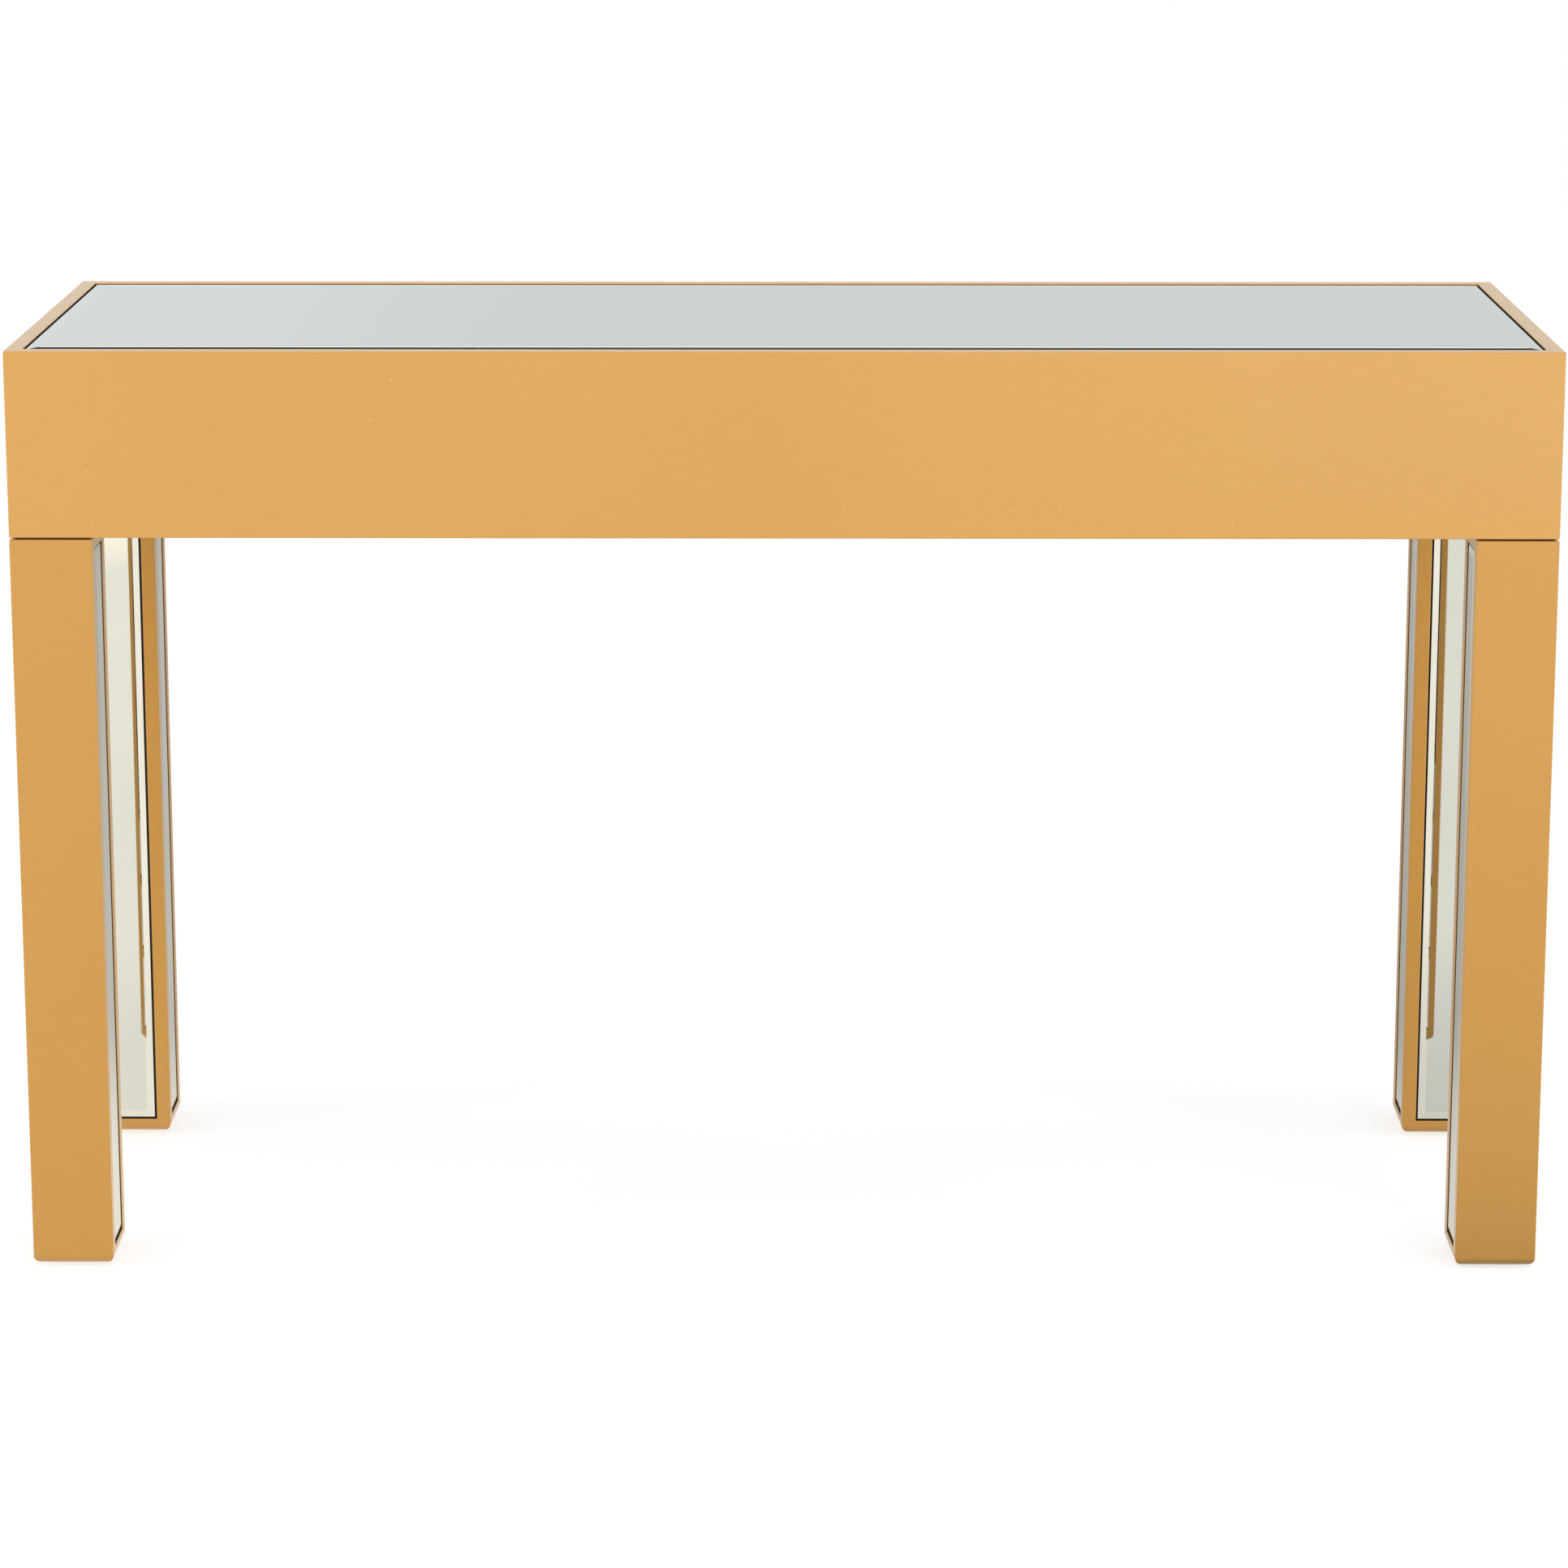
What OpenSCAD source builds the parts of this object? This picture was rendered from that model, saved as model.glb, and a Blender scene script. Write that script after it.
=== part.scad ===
// Mirrored vanity table: a shallow case with two drawers on four square legs.
// The drawers open towards -Y, the plain back panel faces +Y, and Z is up.
// The origin is on the floor, at the middle of the whole table's footprint.

/* [Table] */
// Overall width of the case, side to side
table_w = 1200; // [900:10:1400]
// Depth of the case, back face to front face, without the knobs
case_d = 400; // [380:5:500]
// Height of the table top over the floor
table_h = 740; // [700:5:780]
// Height of the case that holds the drawers
case_h = 146; // [140:1:180]
// Thickness of the gold case panels
panel_t = 12.7; // [12:0.1:13.5]

/* [Legs] */
// Width of each square leg
leg_w = 64; // [62:1:70]
// Rounding of the legs' upright edges
leg_edge_r = 1.2; // [0.5:0.1:2]
// Rounding of the edges round the foot of a leg
foot_r = 8; // [3:0.5:9]
// Thickness of the mounting plate that leaves a dark gap under the case
plate_t = 1.5; // [1:0.1:2.5]
// Thickness of the nylon glide under each leg
glide_t = 2; // [1.5:0.5:5]
// Width of the gold stile on each side of a leg mirror
stile_w = 12; // [9:0.5:15]
// Height of the gold rail above a leg mirror
leg_rail_top = 10; // [8:0.5:20]
// Height of the gold rail below a leg mirror
leg_rail_low = 12; // [10:0.5:25]

/* [Mirror glass] */
// Thickness of the top glass
top_glass_t = 5; // [4:0.5:6]
// Open gap round the top glass
top_gap = 2; // [1:0.1:3]
// Width of the bevel on the top glass
top_bevel_w = 12; // [8:0.5:20]
// Thickness of the inlaid glass on the legs, sides and drawers
inlay_t = 4; // [3:0.5:5]
// Open gap round the inlaid glass
inlay_gap = 1.3; // [0.8:0.1:2]
// Width of the bevel on the leg glass
leg_bevel_w = 6.5; // [4:0.5:8]
// Width of the bevel on the side and drawer glass
face_bevel_w = 9; // [6:0.5:14]
// How far the glass lies below the gold face round it
glass_drop = 0.3; // [0.2:0.05:0.4]

/* [Drawers] */
// Thickness of the drawer's face board
face_t = 15; // [14:0.5:18]
// Open gap round a drawer's face board
face_gap = 2; // [1.5:0.1:3]
// Width of the gold frame round a drawer's mirror
face_frame_w = 14; // [12:0.5:20]
// Thickness of the drawer box's boards
box_t = 12; // [11:0.5:14]
// Height of the drawer box
box_h = 80; // [60:1:84]
// Depth of the drawer box behind the face board
box_d = 330; // [310:5:345]
// Length of each ball-bearing slide
slide_l = 300; // [250:10:310]
// Radius of the crystal knob
knob_r = 16; // [12:0.5:18]
// Length of the crystal knob
knob_l = 24; // [18:0.5:26]

/* [Hidden] */
$fn = 48;

GOLD = [0.87, 0.67, 0.37];
GLASS = [0.84, 0.86, 0.85];
PALE_WOOD = [0.80, 0.68, 0.50];
STEEL = [0.66, 0.67, 0.68];
BRASS = [0.78, 0.62, 0.30];
CRYSTAL = [0.90, 0.93, 0.95];
NYLON = [0.22, 0.20, 0.19];

LEFT = -1;
RIGHT = 1;
FRONT = -1;
REAR = 1;
SIDES = [LEFT, RIGHT];
ROWS = [FRONT, REAR];

// A cut passes its surface by this much
over = 1;

// The case
half_w = table_w / 2;
inner_x = half_w - panel_t;
base_h = 4.3;
knob_reach = knob_l + base_h - glass_drop;
case_front = -(case_d + knob_reach) / 2 + knob_reach;
case_back = case_front + case_d;
rail_back = case_front + panel_t;
back_inside = case_back - panel_t;
case_low = table_h - case_h;
glass_top = table_h - 0.4;
deck_t = 12;
deck_top = glass_top - top_glass_t;
deck_low = deck_top - deck_t;
top_rail_h = 18;
low_rail_h = 14;
floor_t = 12;
floor_top = case_low + floor_t;
batten = 12;
batten_gap = 8;
side_frame_w = 14;
inlay_recess = inlay_t + glass_drop;

// The legs
leg_top = case_low - plate_t;
leg_h = leg_top - glide_t;
glide_r = 12;
pin_r = 2;
pin_l = 12;
plate_w = leg_w - 8;
bolt_r = 4;
bolt_hole_r = 4.25;
bolt_l = 29;
bolt_head_h = 5.3;
bolt_head_r = 7.5;
washer_t = 1.6;
washer_r = 8;
insert_r = 6;
insert_l = 16;
insert_bore_r = 4.05;
bolt_spots = [[8, -14], [-14, 8]];
screw_spots = [[20, 20], [20, -20], [-20, 20], [-20, -20]];
screw_r = 1.75;
screw_head_r = 3.2;
plate_screw_l = 14;

// The drawers
bay_in = panel_t / 2;
bay_out = inner_x;
bay_w = bay_out - bay_in;
bay_mid = (bay_out + bay_in) / 2;
slide_t = 12.7;
box_w = bay_w - 2 * slide_t;
face_w = bay_w - 2 * face_gap;
face_low = case_low + low_rail_h + face_gap;
face_h = case_h - low_rail_h - top_rail_h - 2 * face_gap;
face_back = case_front + face_t;
box_front = face_back + box_t;
box_back = face_back + box_d;
box_low = floor_top + 12;
box_top = box_low + box_h;
groove_depth = 5;
bottom_t = 5;
bottom_low = box_low + 8;
face_mid_z = face_low + face_h / 2;
face_screw_z = box_low + box_h / 2;
face_screw_offsets = [-0.4 * box_w, -0.14 * box_w, 0.14 * box_w, 0.4 * box_w];
face_screw_l = 19;
pan_head_r = 4;
pan_head_h = 2.5;

// The knobs
base_r = 10;
base_disc_t = 1.5;
neck_r = 5.5;
knob_screw_r = 2;
knob_hole_r = 2.2;
knob_bore_r = 2.05;
glass_hole_r = 3;
knob_bore_l = 9;
glass_face = case_front + glass_drop;
base_front = glass_face - base_h;

// The slides, in their own section: X runs from the case to the drawer, Z is up
slide_front = face_back + 3;
slide_z = face_screw_z;
web_t = 1.2;
ball_r = 2.5;
race_r = 2.6;
ball_x = slide_t / 2;
ball_z = 14;
race_gap = 0.9;
outer_h = 2 * (ball_z + race_r + web_t);
inner_h = 2 * (ball_z - race_r);
cage_t = 0.8;
cage_x = 1.6;
cage_reach = 9.9;
cage_l = 75;
cage_balls = 4;
ball_pitch = 20;
case_screw_spots = [30, slide_l / 2, slide_l - 30];
drawer_screw_spots = [40, slide_l - 40];
rail_screw_l = 5.5;

// ---- Shared shapes ----

// A rectangle centred on X and standing on Y = 0, with its lower and upper corners rounded
module rounded_upright(w, h, r_low, r_high) {
    translate([-w / 2, r_low]) square([w, h - r_low - r_high]);
    translate([-w / 2 + r_low, 0]) square([w - 2 * r_low, r_low]);
    translate([-w / 2 + r_high, h - r_high]) square([w - 2 * r_high, r_high]);
    for (s = SIDES) {
        translate([s * (w / 2 - r_low), r_low]) circle(r_low);
        translate([s * (w / 2 - r_high), h - r_high]) circle(r_high);
    }
}

// The section of a bevelled sheet: its back on Y = 0, its front at Y = t
module bevel_section(w, t, bevel_w, bevel_d) {
    polygon([
        [-w / 2, 0], [w / 2, 0], [w / 2, t - bevel_d],
        [w / 2 - bevel_w, t], [bevel_w - w / 2, t], [-w / 2, t - bevel_d]
    ]);
}

// A bevelled sheet, centred on X and Y, with its back on Z = 0
module bevelled_sheet(w, h, t, bevel_w, bevel_d) {
    intersection() {
        rotate([90, 0, 0])
            linear_extrude(h, center = true) bevel_section(w, t, bevel_w, bevel_d);
        rotate([90, 0, 90])
            linear_extrude(w, center = true) bevel_section(h, t, bevel_w, bevel_d);
    }
}

// A box between two corners
module block(low, high) {
    translate(low) cube(high - low);
}

// A countersunk screw along +Z: the head's flat face is at Z = -head_t, the head ends at Z = 0
module flat_screw(head_t, length) {
    translate([0, 0, -head_t]) cylinder(h = head_t, r1 = screw_head_r, r2 = screw_r);
    cylinder(h = length, r = screw_r);
}

// A pan-head screw along +Z with its head below Z = 0
module pan_screw(length, r) {
    translate([0, 0, -pan_head_h]) cylinder(h = pan_head_h, r = pan_head_r);
    cylinder(h = length, r = r);
}

// ---- Case ----

module back_panel() {
    color(GOLD) translate([0, 0, case_low]) linear_extrude(case_h)
        polygon([
            [-half_w, case_back], [half_w, case_back],
            [inner_x, back_inside], [-inner_x, back_inside]
        ]);
}

// A side panel with a mitred rear end, a recess for its mirror and pilot holes for the slides
module side_panel(side) {
    color(GOLD) difference() {
        translate([0, 0, case_low]) linear_extrude(case_h)
            polygon([
                [side * half_w, case_front], [side * half_w, case_back],
                [side * inner_x, back_inside], [side * inner_x, case_front]
            ]);
        translate([side * half_w, (case_front + case_back) / 2, case_low + case_h / 2])
            cube([2 * inlay_recess, case_d - 2 * side_frame_w, case_h - 2 * side_frame_w], center = true);
        case_screw_holes(side * inner_x, side);
    }
}

module left_side_panel() side_panel(LEFT);
module right_side_panel() side_panel(RIGHT);

module front_top_rail() {
    color(GOLD)
        block([-inner_x, case_front, table_h - top_rail_h], [inner_x, rail_back, table_h]);
}

module front_bottom_rail() {
    color(GOLD)
        block([-inner_x, case_front, case_low], [inner_x, rail_back, case_low + low_rail_h]);
}

module centre_partition() {
    color(GOLD) difference() {
        block([-bay_in, case_front, floor_top], [bay_in, back_inside, deck_low]);
        block([-panel_t, case_front - over, floor_top - over],
              [panel_t, rail_back, case_low + low_rail_h]);
        block([-panel_t, case_front - over, table_h - top_rail_h],
              [panel_t, rail_back, deck_low + over]);
        case_screw_holes(-bay_in, RIGHT);
        case_screw_holes(bay_in, LEFT);
    }
}

module top_deck() {
    color(PALE_WOOD) block([-inner_x, rail_back, deck_low], [inner_x, back_inside, deck_top]);
}

module top_mirror() {
    color(GLASS) translate([0, (rail_back + back_inside) / 2, deck_top])
        bevelled_sheet(2 * (inner_x - top_gap), back_inside - rail_back - 2 * top_gap,
                       top_glass_t, top_bevel_w, 1.5);
}

module bottom_panel() {
    color(PALE_WOOD) difference() {
        block([-inner_x, rail_back, case_low], [inner_x, back_inside, floor_top]);
        at_leg_bolts(case_low - over) cylinder(h = floor_t + 2 * over, r = bolt_hole_r);
    }
}

module side_mirror(side) {
    glass_d = case_d - 2 * side_frame_w - 2 * inlay_gap;
    glass_h = case_h - 2 * side_frame_w - 2 * inlay_gap;
    color(GLASS)
        translate([side * (half_w - inlay_recess), (case_front + case_back) / 2, case_low + case_h / 2])
        rotate([0, side * 90, 0]) bevelled_sheet(glass_h, glass_d, inlay_t, face_bevel_w, 1.2);
}

module left_side_mirror() side_mirror(LEFT);
module right_side_mirror() side_mirror(RIGHT);

// Battens glued round the case under the deck, one along each side and one along each rear bay
module deck_battens() {
    color(PALE_WOOD) for (s = SIDES) {
        block([s * (inner_x - batten / 2) - batten / 2, rail_back + batten_gap, deck_low - batten],
              [s * (inner_x - batten / 2) + batten / 2, back_inside - batten - batten_gap, deck_low]);
        block([s * bay_mid - bay_w / 2, back_inside - batten, deck_low - batten],
              [s * bay_mid + bay_w / 2, back_inside, deck_low]);
    }
}

// ---- Legs ----

// Places the children on a leg's axis, on the floor
module at_leg(side, row) {
    leg_y = row == REAR ? case_back - leg_w / 2 : case_front + leg_w / 2;
    translate([side * (half_w - leg_w / 2), leg_y, 0]) children();
}

// Places the children at each spot of every leg; a spot is measured outwards from the leg's axis
module at_leg_spots(spots, z) {
    for (side = SIDES, row = ROWS, spot = spots)
        at_leg(side, row) translate([side * spot.x, row * spot.y, z]) children();
}

module at_leg_bolts(z) {
    at_leg_spots(bolt_spots, z) children();
}

// The faces of a leg that carry a mirror, as turns from +X: a rear leg's back face is plain
function mirror_turns(row) = row == REAR ? [0, 180, 270] : [0, 90, 180, 270];

// A square post with rounded upright edges, a soft top edge and a rounded foot
module leg_blank() {
    intersection() {
        translate([0, -leg_w / 2, 0]) linear_extrude(leg_h)
            rounded_upright(leg_w, leg_w, leg_edge_r, leg_edge_r);
        rotate([90, 0, 0])
            linear_extrude(leg_w, center = true) rounded_upright(leg_w, leg_h, foot_r, leg_edge_r);
        rotate([90, 0, 90])
            linear_extrude(leg_w, center = true) rounded_upright(leg_w, leg_h, foot_r, leg_edge_r);
    }
}

module leg(side, row) {
    open_w = leg_w - 2 * stile_w;
    open_h = leg_h - leg_rail_low - leg_rail_top;
    color(GOLD) difference() {
        at_leg(side, row) translate([0, 0, glide_t]) leg_blank();
        at_leg(side, row)
            for (turn = mirror_turns(row))
                rotate(turn)
                    translate([leg_w / 2 - inlay_recess, -open_w / 2, glide_t + leg_rail_low])
                    cube([inlay_recess + over, open_w, open_h]);
        at_leg(side, row) translate([0, 0, glide_t]) cylinder(h = pin_l, r = pin_r);
        at_leg_bolts(leg_top - insert_l) cylinder(h = insert_l + over, r = insert_r);
        at_leg_spots(screw_spots, leg_top - plate_screw_l)
            cylinder(h = plate_screw_l + over, r = screw_r);
    }
}

module front_left_leg() leg(LEFT, FRONT);
module front_right_leg() leg(RIGHT, FRONT);
module rear_left_leg() leg(LEFT, REAR);
module rear_right_leg() leg(RIGHT, REAR);

module leg_mirrors(side, row) {
    glass_w = leg_w - 2 * stile_w - 2 * inlay_gap;
    glass_h = leg_h - leg_rail_low - leg_rail_top - 2 * inlay_gap;
    mid_z = glide_t + leg_rail_low + inlay_gap + glass_h / 2;
    color(GLASS) at_leg(side, row)
        for (turn = mirror_turns(row))
            rotate(turn) translate([leg_w / 2 - inlay_recess, 0, mid_z])
                rotate([0, 90, 0]) bevelled_sheet(glass_h, glass_w, inlay_t, leg_bevel_w, 1);
}

module front_left_leg_mirrors() leg_mirrors(LEFT, FRONT);
module front_right_leg_mirrors() leg_mirrors(RIGHT, FRONT);
module rear_left_leg_mirrors() leg_mirrors(LEFT, REAR);
module rear_right_leg_mirrors() leg_mirrors(RIGHT, REAR);

// Steel plates on the legs' top ends, with holes for two bolts and four countersunk screws
module leg_plates() {
    color(STEEL) difference() {
        for (side = SIDES, row = ROWS)
            at_leg(side, row) translate([-plate_w / 2, -plate_w / 2, leg_top])
                cube([plate_w, plate_w, plate_t]);
        at_leg_bolts(leg_top - over) cylinder(h = plate_t + 2 * over, r = bolt_hole_r);
        at_leg_spots(screw_spots, leg_top)
            cylinder(h = plate_t, r1 = screw_r, r2 = screw_head_r);
    }
}

module leg_bolts() {
    color(STEEL) at_leg_bolts(floor_top + washer_t) {
        cylinder(h = bolt_head_h, r = bolt_head_r, $fn = 6);
        translate([0, 0, -bolt_l]) cylinder(h = bolt_l, r = bolt_r);
    }
}

module leg_washers() {
    color(STEEL) at_leg_bolts(floor_top) difference() {
        cylinder(h = washer_t, r = washer_r);
        translate([0, 0, -over]) cylinder(h = washer_t + 2 * over, r = bolt_hole_r);
    }
}

// Threaded inserts in the legs' top ends, drawn as plain sleeves
module leg_inserts() {
    color(BRASS) at_leg_bolts(leg_top - insert_l) difference() {
        cylinder(h = insert_l, r = insert_r);
        translate([0, 0, -over]) cylinder(h = insert_l + 2 * over, r = insert_bore_r);
    }
}

module plate_screws() {
    color(STEEL) at_leg_spots(screw_spots, leg_top)
        rotate([180, 0, 0]) flat_screw(plate_t, plate_screw_l);
}

module leg_glides() {
    color(NYLON) for (side = SIDES, row = ROWS) at_leg(side, row) {
        cylinder(h = glide_t, r = glide_r);
        cylinder(h = glide_t + pin_l, r = pin_r);
    }
}

// ---- Slides ----

// Places the children on a slide: X = 0 on the face at x, X grows along facing, Y = 0 at its front end
module at_slide(x, facing) {
    translate([x, slide_front, slide_z]) mirror([facing == LEFT ? 1 : 0, 0, 0]) children();
}

// Both slides of a bay: the children are placed once from the side panel, once from the partition
module at_bay_slides(side) {
    at_slide(side * bay_out, -side) children();
    at_slide(side * bay_in, side) children();
}

// A ring's part that lies beyond a level, above it or below it, about a ball's centre
module race(above) {
    size = race_r + web_t;
    intersection() {
        difference() {
            circle(size);
            circle(race_r);
        }
        translate([-size, above ? race_gap : -size]) square([2 * size, size - race_gap]);
    }
}

// The member that is fixed to the case
module outer_section() {
    translate([0, -outer_h / 2]) square([web_t, outer_h]);
    for (flip = [0, 1]) mirror([0, flip]) {
        translate([0, outer_h / 2 - web_t]) square([ball_x, web_t]);
        translate([ball_x, ball_z]) race(true);
    }
}

// The member that is fixed to the drawer
module inner_section() {
    translate([slide_t - web_t, -inner_h / 2]) square([web_t, inner_h]);
    for (flip = [0, 1]) mirror([0, flip]) {
        translate([ball_x, inner_h / 2 - web_t]) square([slide_t - ball_x, web_t]);
        translate([ball_x, ball_z]) race(false);
    }
}

// Turns a slide's section into a member of the given length along +Y
module slide_run(length) {
    translate([0, length, 0]) rotate([90, 0, 0]) linear_extrude(length) children();
}

// Countersunk screws through a web whose inner face is at x, pointing along turn
module slide_screws(x, turn, spots) {
    for (y = spots)
        translate([x, y, 0]) rotate([0, turn, 0]) flat_screw(web_t, rail_screw_l);
}

module case_screw_holes(x, facing) {
    at_slide(x, -facing) slide_screws(0, -90, case_screw_spots);
}

module case_rails(side) {
    color(STEEL) difference() {
        at_bay_slides(side) slide_run(slide_l) outer_section();
        at_bay_slides(side) slide_screws(0, -90, case_screw_spots);
    }
}

module left_case_rails() case_rails(LEFT);
module right_case_rails() case_rails(RIGHT);

module case_rail_screws() {
    color(STEEL) for (side = SIDES)
        at_bay_slides(side) slide_screws(0, -90, case_screw_spots);
}

// Retainers with their balls, halfway along each slide
module ball_cages(side) {
    lip_h = 2 * ball_z + cage_t;
    color(STEEL) at_bay_slides(side) translate([0, (slide_l - cage_l) / 2, 0]) {
        block([cage_x, 0, -lip_h / 2], [cage_x + cage_t, cage_l, lip_h / 2]);
        for (s = [-1, 1]) {
            block([cage_x, 0, s * ball_z - cage_t / 2], [cage_reach, cage_l, s * ball_z + cage_t / 2]);
            for (i = [0 : cage_balls - 1])
                translate([ball_x, cage_l / 2 + (i - (cage_balls - 1) / 2) * ball_pitch, s * ball_z])
                    sphere(ball_r);
        }
    }
}

module left_ball_cages() ball_cages(LEFT);
module right_ball_cages() ball_cages(RIGHT);

// ---- Drawers ----

// Turns a screw along -Y, towards the front of the drawer at X = x
module towards_front(x, y, z) {
    translate([x, y, z]) rotate([90, 0, 0]) children();
}

module drawer_face(side) {
    color(GOLD) difference() {
        block([side * bay_mid - face_w / 2, case_front, face_low],
              [side * bay_mid + face_w / 2, face_back, face_low + face_h]);
        translate([side * bay_mid, case_front, face_mid_z])
            cube([face_w - 2 * face_frame_w, 2 * inlay_recess, face_h - 2 * face_frame_w], center = true);
        towards_front(side * bay_mid, face_back + over, face_mid_z)
            cylinder(h = face_t + 2 * over, r = knob_hole_r);
        for (dx = face_screw_offsets)
            towards_front(side * bay_mid + dx, face_back + over, face_screw_z)
                cylinder(h = face_screw_l - box_t + over, r = knob_screw_r);
    }
}

module drawer_mirror(side) {
    glass_w = face_w - 2 * face_frame_w - 2 * inlay_gap;
    glass_h = face_h - 2 * face_frame_w - 2 * inlay_gap;
    color(GLASS) translate([side * bay_mid, case_front + inlay_recess, face_mid_z])
        rotate([90, 0, 0]) difference() {
            bevelled_sheet(glass_w, glass_h, inlay_t, face_bevel_w, 1.2);
            translate([0, 0, -over]) cylinder(h = inlay_t + 2 * over, r = glass_hole_r);
        }
}

module drawer_inner_front(side) {
    color(PALE_WOOD) difference() {
        block([side * bay_mid - box_w / 2, face_back, box_low],
              [side * bay_mid + box_w / 2, box_front, box_top]);
        drawer_bottom_body(side);
        towards_front(side * bay_mid, box_front + over, face_mid_z)
            cylinder(h = box_t + 2 * over, r = knob_hole_r);
        for (dx = face_screw_offsets)
            towards_front(side * bay_mid + dx, box_front + over, face_screw_z)
                cylinder(h = box_t + 2 * over, r = knob_screw_r);
    }
}

// A long side of the box, with the bottom's groove and pilot holes for its slide
module drawer_side(side, hand) {
    mid_x = side * bay_mid + hand * (box_w - box_t) / 2;
    color(PALE_WOOD) difference() {
        block([mid_x - box_t / 2, box_front, box_low], [mid_x + box_t / 2, box_back, box_top]);
        drawer_bottom_body(side);
        drawer_slide_screws(side);
    }
}

module drawer_back(side) {
    color(PALE_WOOD) difference() {
        block([side * bay_mid - box_w / 2 + box_t, box_back - box_t, box_low],
              [side * bay_mid + box_w / 2 - box_t, box_back, box_top]);
        drawer_bottom_body(side);
    }
}

module drawer_bottom_body(side) {
    reach = box_w / 2 - box_t + groove_depth;
    block([side * bay_mid - reach, box_front - groove_depth, bottom_low],
          [side * bay_mid + reach, box_back - box_t + groove_depth, bottom_low + bottom_t]);
}

module drawer_bottom(side) {
    color(PALE_WOOD) drawer_bottom_body(side);
}

// A faceted crystal knob with a blind bore for its screw
module drawer_knob(side) {
    color(CRYSTAL) towards_front(side * bay_mid, base_front, face_mid_z) difference() {
        union() {
            cylinder(h = 0.15 * knob_l, r1 = 0.45 * knob_r, r2 = 0.6 * knob_r, $fn = 12);
            translate([0, 0, 0.15 * knob_l])
                cylinder(h = 0.35 * knob_l, r1 = 0.6 * knob_r, r2 = knob_r, $fn = 12);
            translate([0, 0, 0.5 * knob_l]) cylinder(h = 0.12 * knob_l, r = knob_r, $fn = 12);
            translate([0, 0, 0.62 * knob_l])
                cylinder(h = 0.38 * knob_l, r1 = knob_r, r2 = 0.45 * knob_r, $fn = 12);
        }
        translate([0, 0, -over]) cylinder(h = knob_bore_l + over, r = knob_bore_r);
    }
}

module drawer_knob_base(side) {
    color(BRASS) towards_front(side * bay_mid, glass_face, face_mid_z) difference() {
        union() {
            cylinder(h = base_disc_t, r = base_r);
            cylinder(h = base_h, r = neck_r);
        }
        translate([0, 0, -over]) cylinder(h = base_h + 2 * over, r = knob_bore_r);
    }
}

module drawer_knob_screw(side) {
    length = box_front - base_front + knob_bore_l - 1;
    color(STEEL) towards_front(side * bay_mid, box_front, face_mid_z) pan_screw(length, knob_screw_r);
}

module drawer_rails(side) {
    color(STEEL) difference() {
        at_bay_slides(side) slide_run(slide_l) inner_section();
        drawer_slide_screws(side);
    }
}

module drawer_slide_screws(side) {
    at_bay_slides(side) slide_screws(slide_t, 90, drawer_screw_spots);
}

module drawer_rail_screws(side) {
    color(STEEL) drawer_slide_screws(side);
}

module drawer_face_screws(side) {
    color(STEEL) for (dx = face_screw_offsets)
        towards_front(side * bay_mid + dx, box_front, face_screw_z)
            pan_screw(face_screw_l, knob_screw_r);
}

module left_drawer_face() drawer_face(LEFT);
module left_drawer_mirror() drawer_mirror(LEFT);
module left_drawer_inner_front() drawer_inner_front(LEFT);
module left_drawer_left_side() drawer_side(LEFT, LEFT);
module left_drawer_right_side() drawer_side(LEFT, RIGHT);
module left_drawer_back() drawer_back(LEFT);
module left_drawer_bottom() drawer_bottom(LEFT);
module left_drawer_knob() drawer_knob(LEFT);
module left_drawer_knob_base() drawer_knob_base(LEFT);
module left_drawer_knob_screw() drawer_knob_screw(LEFT);
module left_drawer_rails() drawer_rails(LEFT);
module left_drawer_rail_screws() drawer_rail_screws(LEFT);
module left_drawer_face_screws() drawer_face_screws(LEFT);
module right_drawer_face() drawer_face(RIGHT);
module right_drawer_mirror() drawer_mirror(RIGHT);
module right_drawer_inner_front() drawer_inner_front(RIGHT);
module right_drawer_left_side() drawer_side(RIGHT, LEFT);
module right_drawer_right_side() drawer_side(RIGHT, RIGHT);
module right_drawer_back() drawer_back(RIGHT);
module right_drawer_bottom() drawer_bottom(RIGHT);
module right_drawer_knob() drawer_knob(RIGHT);
module right_drawer_knob_base() drawer_knob_base(RIGHT);
module right_drawer_knob_screw() drawer_knob_screw(RIGHT);
module right_drawer_rails() drawer_rails(RIGHT);
module right_drawer_rail_screws() drawer_rail_screws(RIGHT);
module right_drawer_face_screws() drawer_face_screws(RIGHT);

back_panel();
left_side_panel();
right_side_panel();
front_top_rail();
front_bottom_rail();
centre_partition();
top_deck();
top_mirror();
bottom_panel();
left_side_mirror();
right_side_mirror();
deck_battens();
front_left_leg();
front_right_leg();
rear_left_leg();
rear_right_leg();
front_left_leg_mirrors();
front_right_leg_mirrors();
rear_left_leg_mirrors();
rear_right_leg_mirrors();
leg_plates();
leg_bolts();
leg_washers();
leg_inserts();
plate_screws();
leg_glides();
left_case_rails();
right_case_rails();
case_rail_screws();
left_drawer_face();
left_drawer_mirror();
left_drawer_inner_front();
left_drawer_left_side();
left_drawer_right_side();
left_drawer_back();
left_drawer_bottom();
left_drawer_knob();
left_drawer_knob_base();
left_drawer_knob_screw();
left_drawer_rails();
left_drawer_rail_screws();
left_drawer_face_screws();
right_drawer_face();
right_drawer_mirror();
right_drawer_inner_front();
right_drawer_left_side();
right_drawer_right_side();
right_drawer_back();
right_drawer_bottom();
right_drawer_knob();
right_drawer_knob_base();
right_drawer_knob_screw();
right_drawer_rails();
right_drawer_rail_screws();
right_drawer_face_screws();
left_ball_cages();
right_ball_cages();
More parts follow.
